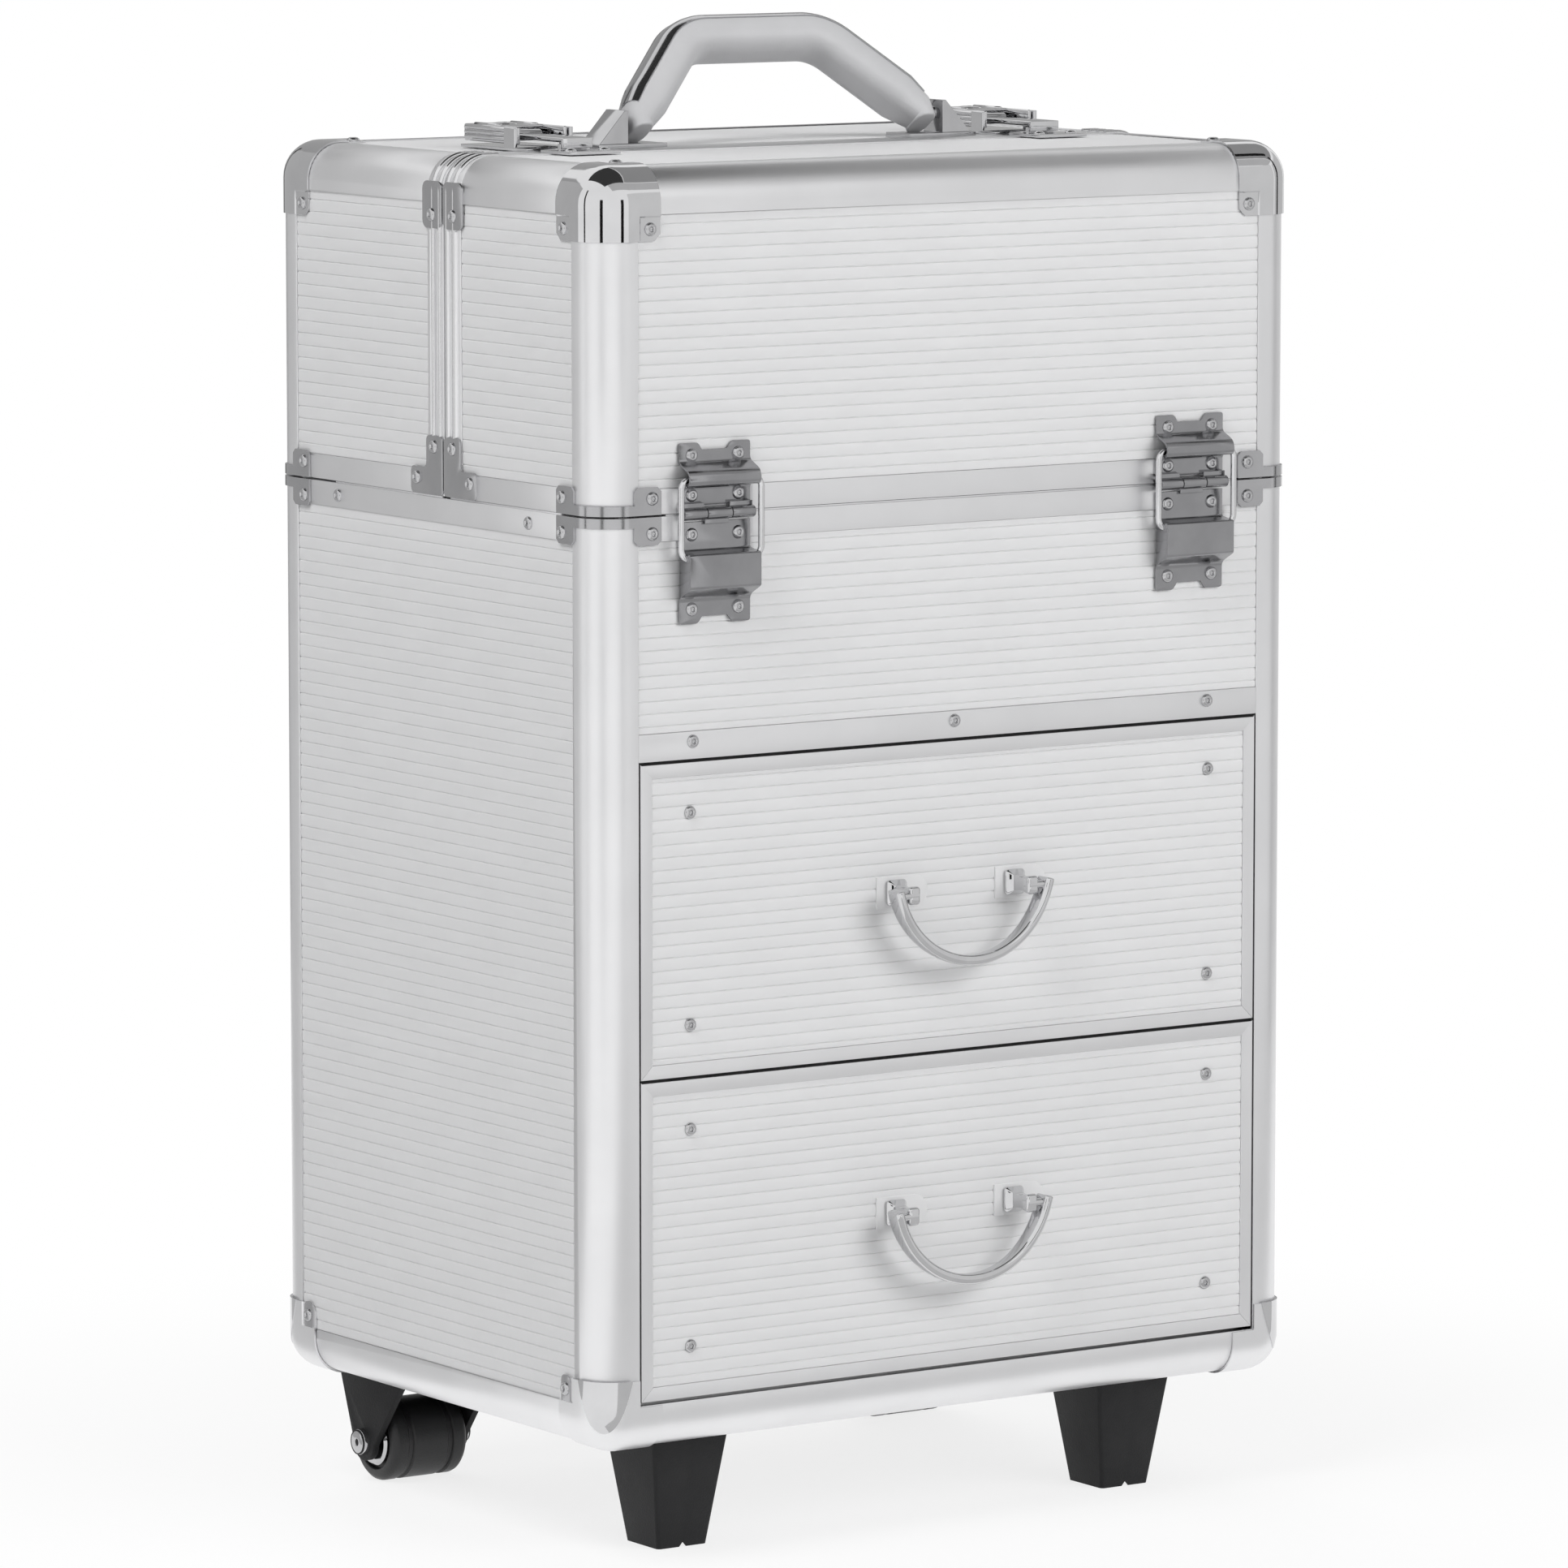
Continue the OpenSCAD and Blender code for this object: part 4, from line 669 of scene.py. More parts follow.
for side, edge_y, turn in halves:
    heads = bmesh.new()
    for flip in (HERE, MIRROR_X):
        for place in (at(left_x + tab_in, front_y - cap_head_out, top_z - tab_in),
                      at(left_x - cap_head_out, front_y + tab_in, top_z - tab_in, -90),
                      at(left_x + tab_in, front_y + tab_in, top_z + cap_head_out, 0, -90),
                      at(left_x + wrap_head_x, front_y - cap_t, lid_low + wrap_head_z),
                      at(left_x - cap_t, front_y + wrap_head_y, lid_low + wrap_head_z, -90),
                      at(left_x - cap_t, edge_y - near_head, lid_low + far_head, -90),
                      at(left_x - cap_t, edge_y - far_head, lid_low + near_head, -90),
                      at(left_x - cap_t, edge_y - top_head_in, top_head_z, -90)):
            stamp(heads, rivet, turn @ flip @ place)
    add_piece(heads, side + "_lid_rivet_heads", rivet_steel, side + "_lid", "bright_plate",
              side + "_lid_rivets", sharp=50.0)


# Front feet: moulded black plastic, tapered hollow posts with a base flange,
# screwed up into the bottom board; a small drain notch in the lower edge.
foot_top, foot_tip, foot_h = 36.0, 23.5, 45.0
foot_x, foot_y = 110.0, -78.5
foot_round, foot_wall, foot_hollow, drain_half, drain_high = 1.6, 2.6, 6.0, 1.6, 1.8
flange_x, flange_y, flange_t = 27.0, 18.0, 4.3
moulded_black = finish("moulded_black", 0.012, 0.018, 0.0, (0.46, 0.58), 60.0, bump=0.3,
                       grain=1600.0, blue=0.001)
moulded_bsdf = moulded_black.node_tree.nodes["Principled BSDF"]
moulded_bsdf.inputs["Specular IOR Level"].default_value = 0.25
foot_bm = bmesh.new()
box(foot_bm, (foot_top, foot_top, foot_h), (0, 0, foot_h / 2))
bmesh.ops.scale(foot_bm, vec=(foot_tip / foot_top, foot_tip / foot_top, 1.0),
                verts=[v for v in foot_bm.verts if v.co.z < 1.0])
uprights = [e for e in foot_bm.edges if abs(e.verts[0].co.z - e.verts[1].co.z) > 1.0]
bevel(foot_bm, uprights, foot_round, 4)
sole = [f for f in foot_bm.faces if f.normal.z < -0.9]
bmesh.ops.inset_region(foot_bm, faces=sole, thickness=foot_wall, depth=0.0,
                       use_even_offset=True)
sole = [f for f in foot_bm.faces if f.normal.z < -0.9 and abs(centre(f).x) < 2.0
        and abs(centre(f).y) < 2.0]
bmesh.ops.translate(foot_bm, vec=(0, 0, foot_hollow),
                    verts=list({v for f in sole for v in f.verts}))
for cut in (-drain_half, drain_half, 0.0):
    slice_by(foot_bm, X * cut, X)
for v in foot_bm.verts:
    if abs(v.co.x) < 0.3 and v.co.z < 0.5 and v.co.y < 0:
        v.co.z = drain_high
foot_shape = keep_shape(foot_bm)
flange = cut_plate([(-flange_x, -flange_y), (flange_x, -flange_y), (flange_x, flange_y),
                    (-flange_x, flange_y)], flange_t, 4.0, 0.6)
feet = bmesh.new()
for x in (-foot_x, foot_x):
    stamp(feet, foot_shape, at(x, foot_y, 0))
    stamp(feet, flange, at(x, foot_y, foot_h, 0, -90))
add_piece(feet, "moulded_front_feet", moulded_black, "case", "black_plastic", "front_feet")


# Wheels: black moulded rollers with a stepped side and two tread grooves, each
# in a moulded V bracket; a bright bolt and hub ring hold the axle.
wheel_r, wheel_x, wheel_y, bolt_out = 17.0, 124.0, 94.0, 23.25
wheel_line = [(4.3, 18.6), (8.6, 18.6), (9.0, 18.2), (9.0, 16.0), (11.8, 16.0), (12.0, 17.6),
              (12.4, 18.0), (14.6, 18.0), (15.6, 17.4), (16.6, 16.4), (17.0, 15.2), (17.0, 11.2),
              (16.6, 10.8), (16.1, 10.6), (16.1, 8.6), (16.6, 8.3), (17.0, 7.9), (17.0, 0.0)]
wheel_line += [(r, -h) for r, h in reversed(wheel_line[:-1])]
hub_line = [(4.4, 18.0), (4.4, 19.1), (9.6, 19.1), (10.6, 18.0)]
bolt_line = [(0.0, 2.9), (1.3, 2.9), (1.7, 3.3), (3.6, 3.3), (4.6, 3.0), (5.35, 2.2), (5.45, 0.0)]
wheel_shape, hub_shape = lathe(wheel_line, X, 56, True), lathe(hub_line, X, 32, True)
bolt_shape = lathe(bolt_line, X, 28)
roller_black = finish("roller_black", 0.012, 0.018, 0.0, (0.36, 0.5), 90.0, bump=0.2, grain=1300.0,
                      blue=0.001)
bolts = bmesh.new()
for side, x in (("left", -wheel_x), ("right", wheel_x)):
    hub_place = at(x, wheel_y, wheel_r)
    tyre, rings = bmesh.new(), bmesh.new()
    stamp(tyre, wheel_shape, hub_place)
    for flip in (HERE, MIRROR_X):
        stamp(rings, hub_shape, hub_place @ flip)
        stamp(bolts, bolt_shape, hub_place @ flip @ at(bolt_out, 0, 0))
    add_piece(tyre, side + "_roller_tyre", roller_black, side + "_roller", "wheel_rubber",
              side + "_wheel", sharp=40.0)
    add_piece(rings, side + "_hub_rings", rivet_steel, side + "_roller", "hinge_steel",
              sharp=40.0)
softened("wheel_brackets", "wheel_fork_brackets", 0.5, moulded_black, "case", "black_plastic")
add_piece(bolts, "wheel_axle_bolts", rivet_steel, "case", "hinge_steel", sharp=40.0)


# Drawer fronts: painted boards with a mitred aluminium border let in flush and
# a ribbed sheet inside it; near-black strips round the board close the gaps and
# are painted shade: they make the gaps as dark as their shadow.
border, border_t, border_shy = 5.5, 1.28, 0.55
board_t, board_y, board_shy = 5.0, front_y + 3.82, 0.4
shade_strip_t, shade_strip_deep, shade_strip_y = 0.44, 4.6, front_y + 3.3
top_shade_strip, top_shade_strip_in, low_shade_strip = 1.0, 0.06, 0.1
front_half = half_wide - edge_w - 0.7
inner_half = front_half - border
# Near-black matte material for the strips behind the drawer gaps: painted shade for the gaps.
gap_shade_black = finish("gap_shade_black", 0.006, 0.012, 0.0, (0.85, 0.95), 300.0, bump=0.3, blue=0.0)
drawers = (("lower", 68.0, 196.05, 133.0), ("upper", 196.75, 322.3, 262.75))
for name, low, high, pivot in drawers:
    body = name + "_drawer"
    tall, half_tall, middle = high - low, (high - low) / 2, (high + low) / 2
    across = cut_plate([(-front_half, 0), (front_half, 0), (inner_half, border),
                        (-inner_half, border)], border_t, 0.0, 0.22)
    upright = cut_plate([(0, -half_tall), (border, border - half_tall),
                         (border, half_tall - border), (0, half_tall)], border_t, 0.0, 0.22)
    strips = bmesh.new()
    for shape, x, z, flip in ((across, 0, low, HERE), (across, 0, high - border_shy, MIRROR_Z),
                              (upright, -front_half, middle, HERE),
                              (upright, front_half, middle, MIRROR_X)):
        stamp(strips, shape, at(x, front_y + border_t, z) @ flip)
    add_piece(strips, body + "_border", satin_edge, body, "edge_aluminium", name + "_front")
    board = bmesh.new()
    box(board, (2 * front_half - board_shy, board_t, tall - board_shy), (0, board_y, middle))
    bevel(board, board.edges[:], 0.4)
    add_piece(board, body + "_board", board_paint, body, "panel_board")
    # Thin black strips just behind the front, round the board: painted shade that darkens the gaps.
    gap_shade = bmesh.new()
    for wide, thick, x, z in ((2 * front_half, top_shade_strip, 0.0, high - top_shade_strip_in),
                              (shade_strip_t, tall, -front_half - shade_strip_t / 2, middle),
                              (shade_strip_t, tall, front_half + shade_strip_t / 2, middle),
                              (2 * front_half, low_shade_strip, 0.0, low - low_shade_strip / 2)):
        box(gap_shade, (wide, shade_strip_deep, thick), (x, shade_strip_y, z))
    add_piece(gap_shade, body + "_felt", gap_shade_black, body, "black_plastic")
    ribs = bmesh.new()
    stamp(ribs, ribbed_sheet(2 * (inner_half - play), tall - 2 * (border + play)),
          at(0, front_y + sheet_in, low + border + play))
    add_piece(ribs, body + "_ribs", facing, body, "ribbed_skin", name + "_skin")


# Drawer pulls: cast and plated, a flat bail swinging on two posts; each post
# has a D-shaped foot screwed from behind, the front rivets are beside them.
pull_half, pull_y, bail_y = 29.0, front_y + 0.6, front_y - 13.2
front_head_x, front_head_in = 127.0, 20.5
post_size, post_y, post_root, post_neck = (5.6, 14.2, 7.6), -8.2, -5.0, -9.0
post_flare, waist_x, waist_z, bail_pin_out = (1.9, 1.0, 1.5), 0.72, 0.78, 3.6
bail_half, bail_drop, bail_tip, bail_set = 36.2, 28.0, 2.6, 1.0
bail_thick, bail_wide, bail_round, bail_face, bail_thin = 4.2, 8.6, 2.05, -3.3, 0.42
bail_r = (bail_half ** 2 + bail_drop ** 2) / (2 * bail_drop)
bail_up = bail_r - bail_drop
bail_open = math.asin(bail_up / bail_r)


def arc(x, y, radius, degrees):
    return [(x + radius * math.cos(math.radians(a)), y + radius * math.sin(math.radians(a)))
            for a in degrees]


def rod(radius, long, segments=24, rim=0.25):
    bm = bmesh.new()
    bmesh.ops.create_cone(bm, cap_ends=True, segments=segments, radius1=radius, radius2=radius,
                          depth=long)
    bmesh.ops.rotate(bm, matrix=Matrix.Rotation(math.pi / 2, 3, "Y"), verts=bm.verts)
    if rim:
        bevel(bm, sharp_edges(bm), rim)
    return keep_shape(bm)


def round_rect(wide, high, radius, steps):
    spots = []
    for k, (sx, sz) in enumerate(((1, 1), (-1, 1), (-1, -1), (1, -1))):
        spots += arc(sx * (wide / 2 - radius), sz * (high / 2 - radius), radius,
                     [90 * (k + i / steps) for i in range(steps + 1)])
    return spots


polished_cast = finish("polished_cast", 0.62, 0.69, 1.0, (0.03, 0.07), 90.0)
post_foot = cut_plate([(-8.8, -6.4), (9.6, -6.4), *arc(9.6, 0.0, 6.4, range(-80, 81, 16)),
                       (9.6, 6.4), (-8.8, 6.4)], 0.9, 0.0, 0.3)
post_bm = bmesh.new()
box(post_bm, post_size, (0, post_y, 0))
bmesh.ops.scale(post_bm, vec=post_flare, verts=[v for v in post_bm.verts if v.co.y > post_root])
for cut in (post_root, post_neck):
    slice_by(post_bm, Y * cut, Y)
for v in post_bm.verts:
    if post_neck - 1.0 < v.co.y < post_root + 1.0:
        v.co.x *= waist_x
        v.co.z *= waist_z
bevel(post_bm, sharp_edges(post_bm, 0.7), 1.5, 4)
post, pin = keep_shape(post_bm), rod(1.6, 11.0, 20, 0.0)
bail_bm = bmesh.new()
start = Vector((-bail_r * math.cos(bail_open), 0, -bail_r * math.sin(bail_open)))
rise = Vector((start.z, 0, -start.x)).normalized() * bail_tip
loop = loop_of(bail_bm, [start * (1 + u / bail_r) + Vector((0, w + bail_set, 0)) + rise
                         for u, w in round_rect(bail_thick, bail_wide, bail_round, 6)])
loop = run(bail_bm, loop, -rise)
loop = turn_loop(bail_bm, loop, (0, 0, 0), 2 * math.degrees(bail_open) - 180, 44)
run(bail_bm, loop, (-rise.x, 0, rise.z))
close_ends(bail_bm)
for v in bail_bm.verts:
    share = max(0.0, min(1.0, (-v.co.z - bail_r * 0.25) / (bail_r * 0.75)))
    v.co.y = bail_face + (v.co.y - bail_face) * (1.0 - bail_thin * share ** 2.5)
bevel(bail_bm, sharp_edges(bail_bm), 0.7, 3)
bail = keep_shape(bail_bm)
for name, low, high, pivot in drawers:
    body = name + "_drawer"
    heads, posts, feet, swing = (bmesh.new() for _ in range(4))
    for sign in (-1, 1):
        stamp(feet, post_foot, at(sign * pull_half, pull_y, pivot))
        stamp(posts, post, at(sign * pull_half, pull_y, pivot))
        stamp(posts, pin, at(sign * (pull_half + bail_pin_out), bail_y, pivot))
        for z in (low + front_head_in, high - front_head_in):
            stamp(heads, rivet, at(sign * front_head_x, pull_y, z))
    stamp(swing, bail, at(0, bail_y, pivot + bail_up))
    add_piece(heads, name + "_front_rivets", rivet_steel, body, "bright_plate", sharp=50.0)
    add_piece(posts, name + "_pull_posts", polished_cast, body, "bright_plate",
              name + "_posts", sharp=40.0)
    add_piece(feet, name + "_pull_feet", facing, body, "bright_plate", sharp=40.0)
    add_piece(swing, name + "_pull_bail", polished_cast, name + "_pull", "bright_plate",
              name + "_bail", sharp=50.0)


# Drawer boxes and runners: thin plywood boxes with hardwood rails, running in
# folded steel channels on battens screwed to the case walls.
plywood = finish("drawer_plywood", (0.33, 0.24, 0.15), (0.45, 0.34, 0.22), 0.0, (0.55, 0.7), 30.0,
                 (0.15, 1.0, 4.0), 0.1)
for name in ("upper", "lower"):
    softened(name + "_box", name + "_drawer_box", 0.4, plywood, name + "_drawer", "box_wood")
softened("drawer_runners", "drawer_battens", 0.4, plywood, "case", "box_wood")


# Stay hinges: folded sheet steel leaves on a pin, with a wire ring that lies
# over them, held in the lid leaf's roll and behind the body leaf's box fold.
hinge_x, seam_z, pin_y, ring_y = 116.0, 420.0, -3.0, -5.5
head_dx, body_head_z, lid_head_z = 11.0, (-8.2, -37.6), (7.4, 23.0)
barrel_r, barrel_dx, mid_long, end_long = 2.4, 11.375, 11.4, 10.75
root_high, root_t, hinge_pin_r, hinge_pin_long = 2.2, 2.6, 1.2, 34.6
leaf_wide, leaf_t = 33.5, 0.9
notch_half, notch_deep, notch_lean = 6.0, 2.9, 2.0
ring_half, ring_low, ring_high, ring_bend, ring_wire = 18.9, -17.6, 14.0, 4.2, 1.3
body_line = [(0.9, -3.2), (0.9, -14.4), (9.0, -15.6), (9.0, -29.0), (2.2, -32.6), (0.9, -34.2),
             (0.9, -43.5)]
lid_line = [(0.9, 3.2), (0.9, 10.6), (8.2, 11.2), (9.2, 14.0), (7.8, 17.2), (0.9, 20.4),
            (0.9, 28.0)]


def rounded(line, radius, steps=4):
    out = [line[0]]
    for a, b, c in zip(line, line[1:], line[2:]):
        a, b, c = Vector(a), Vector(b), Vector(c)
        cut = min(radius, 0.48 * (a - b).length, 0.48 * (c - b).length)
        p, q = b + (a - b).normalized() * cut, b + (c - b).normalized() * cut
        for k in range(steps + 1):
            t = k / steps
            out.append(tuple(p * (1 - t) ** 2 + b * (2 * t * (1 - t)) + q * t ** 2))
    return out + [line[-1]]


def folded_leaf(line, fold, edge_up):
    bm = bmesh.new()
    left, right = ([bm.verts.new((x, -o, z)) for o, z in rounded(line, fold)]
                   for x in (-leaf_wide / 2, leaf_wide / 2))
    for i in range(len(left) - 1):
        bm.faces.new((left[i], right[i], right[i + 1], left[i + 1]))
    tip = line[-1][1]
    inner = tip - notch_deep * edge_up
    for sign in (-1.0, 1.0):
        slice_by(bm, (sign * notch_half, 0, inner), (sign * notch_deep, 0, -edge_up * notch_lean))
    slice_by(bm, (0, 0, inner), Z)
    gone = []
    for f in bm.faces:
        past = (centre(f).z - inner) * edge_up
        if past > 0 and abs(centre(f).x) < notch_half + past * notch_lean / notch_deep:
            gone.append(f)
    bmesh.ops.delete(bm, geom=gone, context="FACES")
    ends = [v for v in bm.verts if abs(v.co.z - tip) < 0.01 and v.is_boundary]
    bevel(bm, ends, 1.1, 3, "VERTICES")
    bm.normal_update()
    if sum(f.normal.y * f.calc_area() for f in bm.faces) > 0:
        bmesh.ops.reverse_faces(bm, faces=bm.faces)
    bmesh.ops.solidify(bm, geom=bm.faces[:], thickness=leaf_t)
    face_out(bm)
    bevel(bm, sharp_edges(bm), 0.16)
    return keep_shape(bm)


def root_plate(half, low):
    return cut_plate([(-half, low), (half, low), (half, low + root_high),
                      (-half, low + root_high)], root_t, 0.0, 0.3)


body_fold, lid_fold = folded_leaf(body_line, 1.1, -1.0), folded_leaf(lid_line, 1.5, 1.0)
ring_bm = bmesh.new()
ring_z = (ring_high + ring_low) / 2
half_z, half_x = (ring_high - ring_low) / 2 - ring_bend, ring_half - ring_bend
loop = loop_of(ring_bm, [(-ring_half + u, w, ring_z) for u, w in circle_spots(ring_wire, 12)])
loop = run(ring_bm, loop, (0, 0, half_z))
for x, z, step in ((-half_x, half_z, (2 * half_x, 0, 0)), (half_x, half_z, (0, 0, -2 * half_z)),
                   (half_x, -half_z, (-2 * half_x, 0, 0)), (-half_x, -half_z, (0, 0, half_z))):
    loop = run(ring_bm, turn_loop(ring_bm, loop, (x, 0, ring_z + z), 90, 8), step)
bmesh.ops.remove_doubles(ring_bm, verts=ring_bm.verts, dist=0.01)
face_out(ring_bm)
ring = keep_shape(ring_bm)
mid_barrel, end_barrel = rod(barrel_r, mid_long), rod(barrel_r, end_long)
hinge_pin = rod(hinge_pin_r, hinge_pin_long)
body_root, lid_root = root_plate(mid_long / 2, -4.2), root_plate(end_long / 2, 2.0)
cheek = cut_plate([(0.9, -14.6), (8.6, -15.9), (8.6, -28.8), (2.0, -32.3), (0.9, -33.8)], 0.8, 0.0,
                  0.1)
hinge_plate = finish("hinge_plate", 0.30, 0.36, 1.0, (0.14, 0.22), 70.0)
wire_steel = finish("wire_steel", 0.68, 0.74, 1.0, (0.06, 0.14), 90.0)


def stamp_heads(bm, spot, rises):
    for dx in (-head_dx, head_dx):
        for rise in rises:
            stamp(bm, rivet, spot @ at(dx, -leaf_t, rise))


body_leaf, body_heads = bmesh.new(), bmesh.new()
for turn in (HERE, HALF_TURN):
    for x in (-hinge_x, hinge_x):
        spot = turn @ at(x, front_y, seam_z)
        stamp(body_leaf, body_fold, spot)
        for edge in (0.85 - leaf_wide / 2, leaf_wide / 2 - 0.05):
            stamp(body_leaf, cheek, spot @ at(edge, 0, 0, -90))
        stamp(body_leaf, mid_barrel, spot @ at(0, pin_y, 0))
        stamp(body_leaf, body_root, spot)
        stamp(body_heads, hinge_pin, spot @ at(0, pin_y, 0))
        stamp_heads(body_heads, spot, body_head_z)
add_piece(body_leaf, "hinge_body_leaves", hinge_plate, "case", "hinge_steel", "body_leaves",
          sharp=30.0)
add_piece(body_heads, "hinge_body_rivets", rivet_steel, "case", "hinge_steel", sharp=50.0)
for side, edge_y, turn in halves:
    leaves, heads, wires = bmesh.new(), bmesh.new(), bmesh.new()
    for x in (-hinge_x, hinge_x):
        spot = turn @ at(x, front_y, seam_z)
        stamp(leaves, lid_fold, spot)
        for dx in (-barrel_dx, barrel_dx):
            stamp(leaves, end_barrel, spot @ at(dx, pin_y, 0))
            stamp(leaves, lid_root, spot @ at(dx, 0, 0))
        stamp_heads(heads, spot, lid_head_z)
        stamp(wires, ring, spot @ at(0, ring_y, 0))
    add_piece(leaves, side + "_hinge_lid_leaves", hinge_plate, side + "_lid", "hinge_steel",
              side + "_lid_leaves", sharp=30.0)
    add_piece(heads, side + "_hinge_lid_rivets", rivet_steel, side + "_lid", "hinge_steel",
              sharp=50.0)
    add_piece(wires, side + "_stay_wires", wire_steel, side + "_stay", "hinge_steel",
              side + "_rings", sharp=60.0)


# Trays: moulded black trays that hang on studs in the lid walls and are led by
# two pairs of flat steel arms from brackets inside the body.
arm_steel = finish("arm_steel", 0.52, 0.60, 1.0, (0.22, 0.34), 60.0)
for side in ("front", "rear"):
    for name in (side + "_upper", side + "_lower"):
        softened(name + "_tray", name + "_moulded_tray", 0.7, moulded_black, name + "_tray_body",
                 "tray_plastic", 3)
        softened(name + "_arms", name + "_flat_arms", 0.35, arm_steel, name + "_arm", "hinge_steel")
    softened(side + "_lid_studs", side + "_tray_studs", 0.3, rivet_steel, side + "_lid",
             "hinge_steel")
softened("tray_brackets", "tray_arm_brackets", 0.5, arm_steel, "case", "hinge_steel")


# Pull handle: two telescopic aluminium tubes on the rear wall in moulded black
# clamps, joined at the top by a black grip bar.
tube_satin = finish("tube_satin", 0.70, 0.76, 1.0, (0.24, 0.32), 40.0, (1.0, 1.0, 0.1), 0.05)
softened("pull_tubes", "outer_pull_tubes", 0.3, tube_satin, "case", "edge_aluminium")
softened("pull_brackets", "pull_tube_clamps", 1.4, moulded_black, "case", "black_plastic", 3)
softened("inner_tubes", "inner_pull_tubes", 0.3, tube_satin, "pull_handle", "edge_aluminium")
softened("pull_grip", "pull_grip_bar", 3.2, moulded_black, "pull_handle", "black_plastic", 5)


# Draw latches: plated steel, base and ears on the rear lid, lever with two
# pressed ribs and a lock boss, claw reaching over the split to the keeper.
latch_x, boss_y, lever_top, cheek_x = 115.0, 31.0, 9.2, 11.2
cheek_size, roof_size, nose_size = (1.6, 40.0, 6.8), (24.0, 24.0, 1.3), (24.0, 1.4, 6.2)
press_r, press_from, press_long, press_x = 0.85, 4.5, 37.5, 12.0
top_press_x, top_press_y, top_press_share = 8.6, 18.0, 0.52
boss_line = [(0.0, 0.5), (1.2, 0.5), (1.5, 0.8), (3.4, 0.8), (4.4, 0.6), (5.0, 0.3), (5.2, 0.0)]
for node, name, body in (("latch_keepers", "latch_keeper_plates", "front_lid"),
                         ("latch_bases", "latch_base_plates", "rear_lid"),
                         ("left_claw", "left_latch_claw", "left_hook"),
                         ("right_claw", "right_latch_claw", "right_hook")):
    softened(node, name, 0.45, polished_cast, body, "bright_plate", 3)
lever_bm = bmesh.new()
for x in (-cheek_x, cheek_x):
    box(lever_bm, cheek_size, (x, 23.0, 5.9))
box(lever_bm, roof_size, (0.0, boss_y, 8.7))
box(lever_bm, nose_size, (0.0, 42.4, 6.2))
bevel(lever_bm, lever_bm.edges[:], 0.6, 3)
rib_bm = bmesh.new()
loop = loop_of(rib_bm, [(u, press_from, w) for u, w in circle_spots(press_r, 10)])
run(rib_bm, loop, (0, press_long, 0))
close_ends(rib_bm)
bevel(rib_bm, sharp_edges(rib_bm), 0.5)
lever_body, lever_rib, boss = keep_shape(lever_bm), keep_shape(rib_bm), lathe(boss_line, Z, 24)
for side, x in (("left", -latch_x), ("right", latch_x)):
    lever = bmesh.new()
    spot = at(x, 0, top_z)
    stamp(lever, lever_body, spot)
    for sign in (-1, 1):
        for z in (4.3, 6.2, 8.1):
            stamp(lever, lever_rib, spot @ at(sign * press_x, 0, z))
        stamp(lever, lever_rib, spot @ at(sign * top_press_x, top_press_y, lever_top)
              @ Matrix.Scale(top_press_share, 4, Y))
    stamp(lever, boss, spot @ at(0, boss_y, lever_top))
    add_piece(lever, side + "_latch_lever", polished_cast, side + "_latch", "bright_plate",
              side + "_lever", sharp=45.0)


# Carry handle: padded moulded grip with a bright channel spine over its top,
# pivoting on pins in two wedge brackets riveted to the rear lid.
grip_half, grip_pivot, grip_mid, grip_bend, grip_slope = 70.0, 9.5, 47.5, 22.0, 46.0
taper_long, taper_least, pivot_y, grip_lean = 11.3, 0.78, 4.0, -34
pad_wide, pad_high, pad_round, pad_foot = 20.0, 17.0, 7.0, 5.2
spine_out, spine_in, spine_crown, spine_floor = 7.55, 6.7, 9.95, 8.2
slope = math.radians(grip_slope)
grip_cut = grip_bend * math.tan(slope / 2)
bar_half = grip_half - (grip_mid - grip_pivot) / math.tan(slope) - grip_cut
grip_leg = (grip_mid - grip_pivot) / math.sin(slope) - grip_cut
leg_way, leg_out = tilted(X, Z, grip_slope), tilted(Z, -X, grip_slope)
left_pivot = Vector((-grip_half, 0, grip_pivot))
leaned = at(0, pivot_y, top_z + grip_pivot, 0, grip_lean) @ at(0, 0, -grip_pivot)


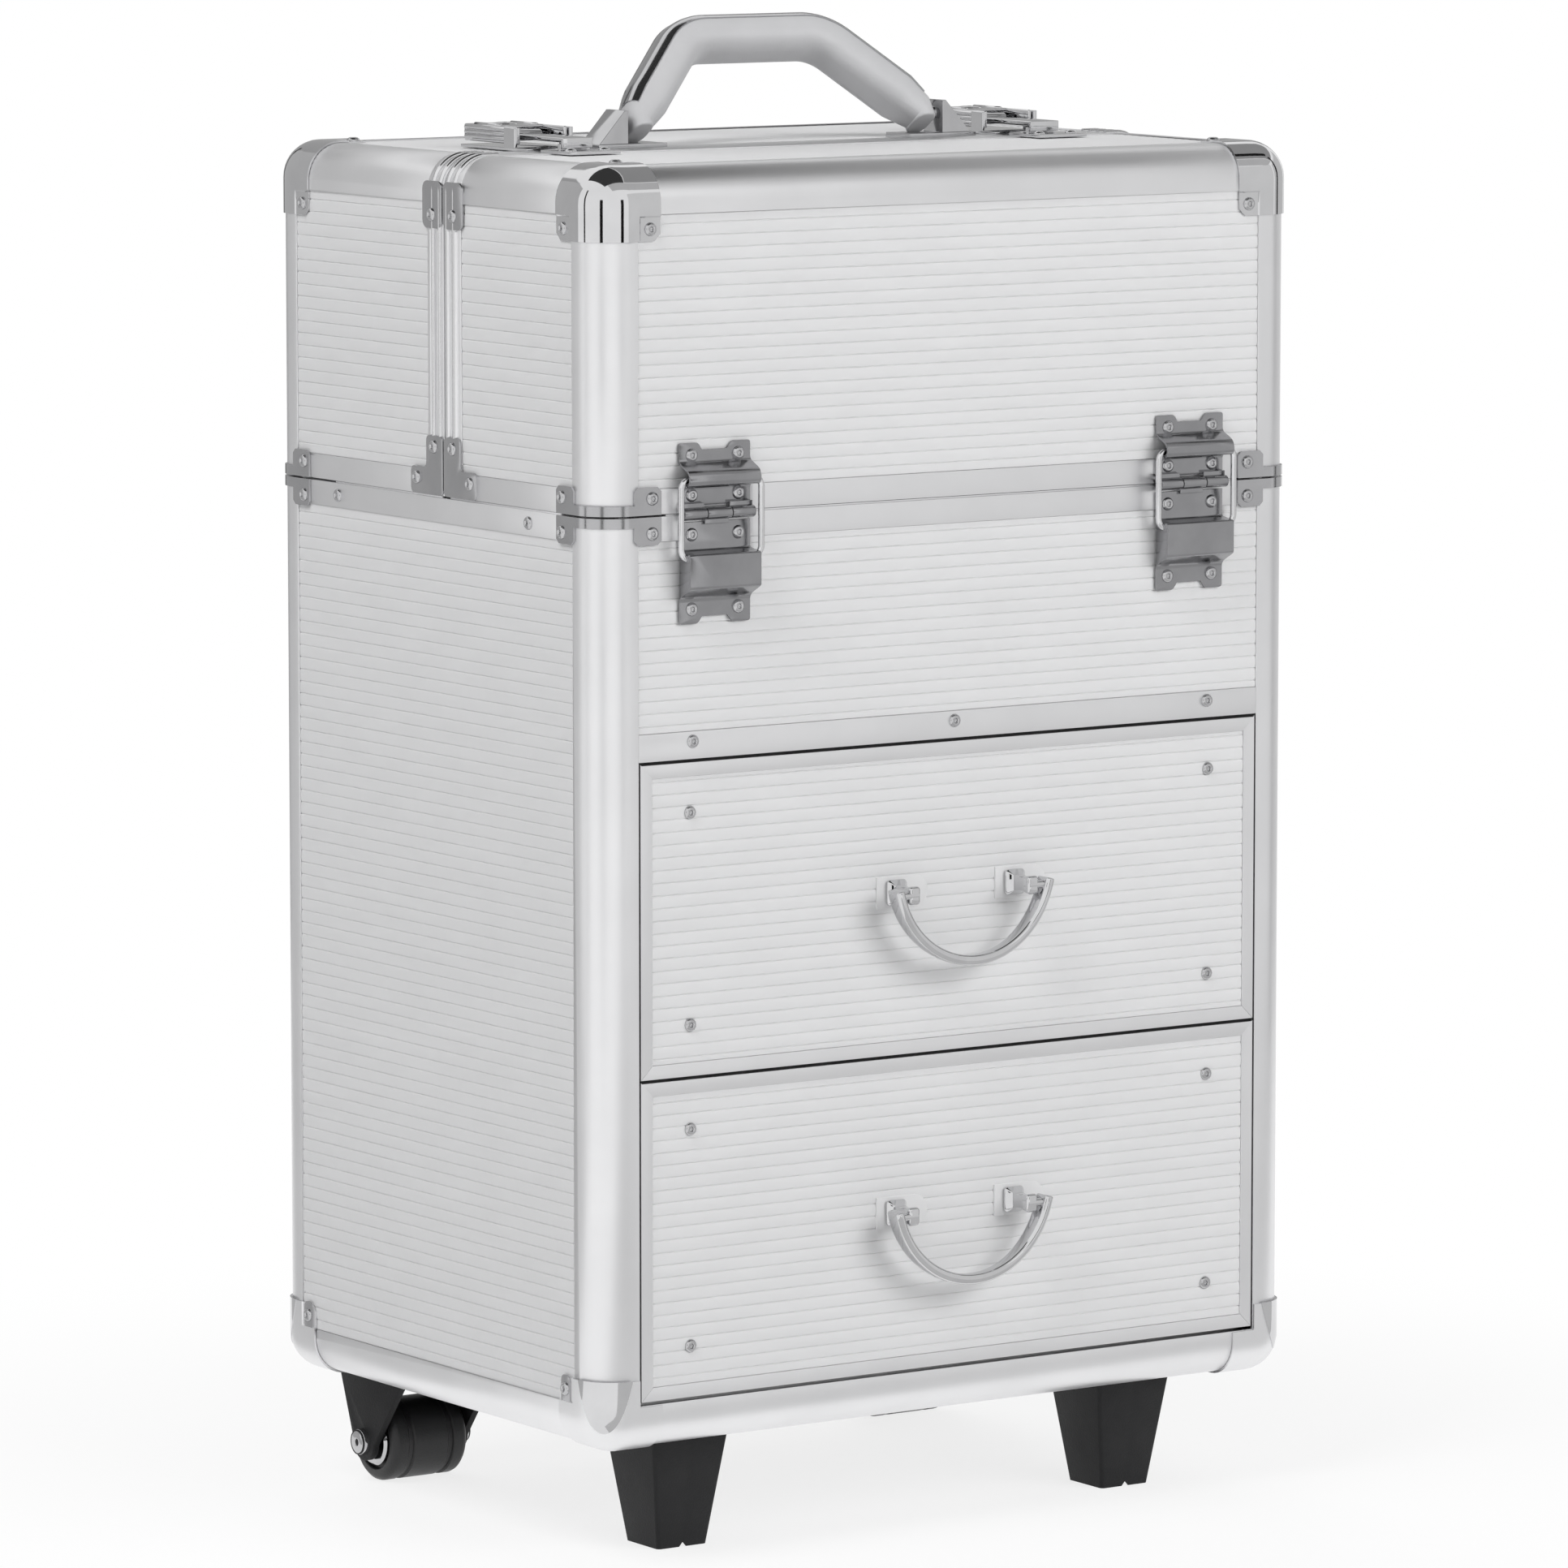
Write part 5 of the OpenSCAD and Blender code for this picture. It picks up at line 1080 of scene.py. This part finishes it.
def grip_sweep(section, start, steps):
    bm = bmesh.new()
    foot = left_pivot + leg_way * start
    step = leg_way * (grip_leg - start) / steps
    loop = loop_of(bm, [foot + Vector((0, w, 0)) + leg_out * n for w, n in section])
    for _ in range(steps):
        loop = run(bm, loop, step)
    loop = turn_loop(bm, loop, (-bar_half, 0, grip_mid - grip_bend), grip_slope, 12)
    loop = run(bm, loop, (2 * bar_half, 0, 0))
    loop = turn_loop(bm, loop, (bar_half, 0, grip_mid - grip_bend), grip_slope, 12)
    for _ in range(steps):
        loop = run(bm, loop, (step.x, 0, -step.z))
    close_ends(bm)
    for v in bm.verts:
        spot = Vector((-abs(v.co.x), v.co.y, v.co.z))
        along = (spot - left_pivot).dot(leg_way)
        if along < taper_long:
            core = left_pivot + leg_way * along
            share = taper_least + (1.0 - taper_least) * max(along, 0.0) / taper_long
            core = core + (spot - core) * share
            v.co = (math.copysign(core.x, v.co.x), core.y, core.z)
    return bm


padded_grey = finish("padded_grey", 0.52, 0.57, 0.0, (0.36, 0.46), 45.0, bump=0.1, grain=1200.0)
pad = grip_sweep(round_rect(pad_wide, pad_high, pad_round, 5), 0.5, 4)
pad.normal_update()
for end in [f for f in pad.faces if len(f.verts) > 8]:
    grown = bmesh.ops.extrude_face_region(pad, geom=[end])["geom"]
    bmesh.ops.delete(pad, geom=[end], context="FACES_ONLY")
    for v in verts_in(grown):
        v.co.z = grip_pivot - pad_foot
face_out(pad)
bevel(pad, sharp_edges(pad), 1.0, 3)
pad.transform(leaned)
add_piece(pad, "padded_grip", padded_grey, "carry_handle", "grip_plastic", "grip", sharp=45.0)
bend_x, bend_y = pad_wide / 2 - pad_round, pad_high / 2 - pad_round
outer = arc(bend_x, bend_y, spine_out, (28, 44, 60, 76))
inner = arc(bend_x, bend_y, spine_in, (76, 60, 44, 28))
channel = (outer + [(0.0, spine_crown)] + [(-w, n) for w, n in reversed(outer)]
           + [(-w, n) for w, n in reversed(inner)] + [(0.0, spine_floor)] + inner)
spine = grip_sweep(channel, 3.5, 5)
spine.transform(leaned)
spine_steel = finish("spine_steel", 0.46, 0.54, 1.0, (0.10, 0.18), 70.0)
add_piece(spine, "grip_channel_spine", spine_steel, "carry_handle", "bright_plate", "grip_spine",
          sharp=30.0)
wedge_plate = finish("wedge_plate", 0.50, 0.58, 1.0, (0.10, 0.18), 80.0)
softened("grip_brackets", "grip_wedge_brackets", 0.6, wedge_plate, "rear_lid", "bright_plate", 3)
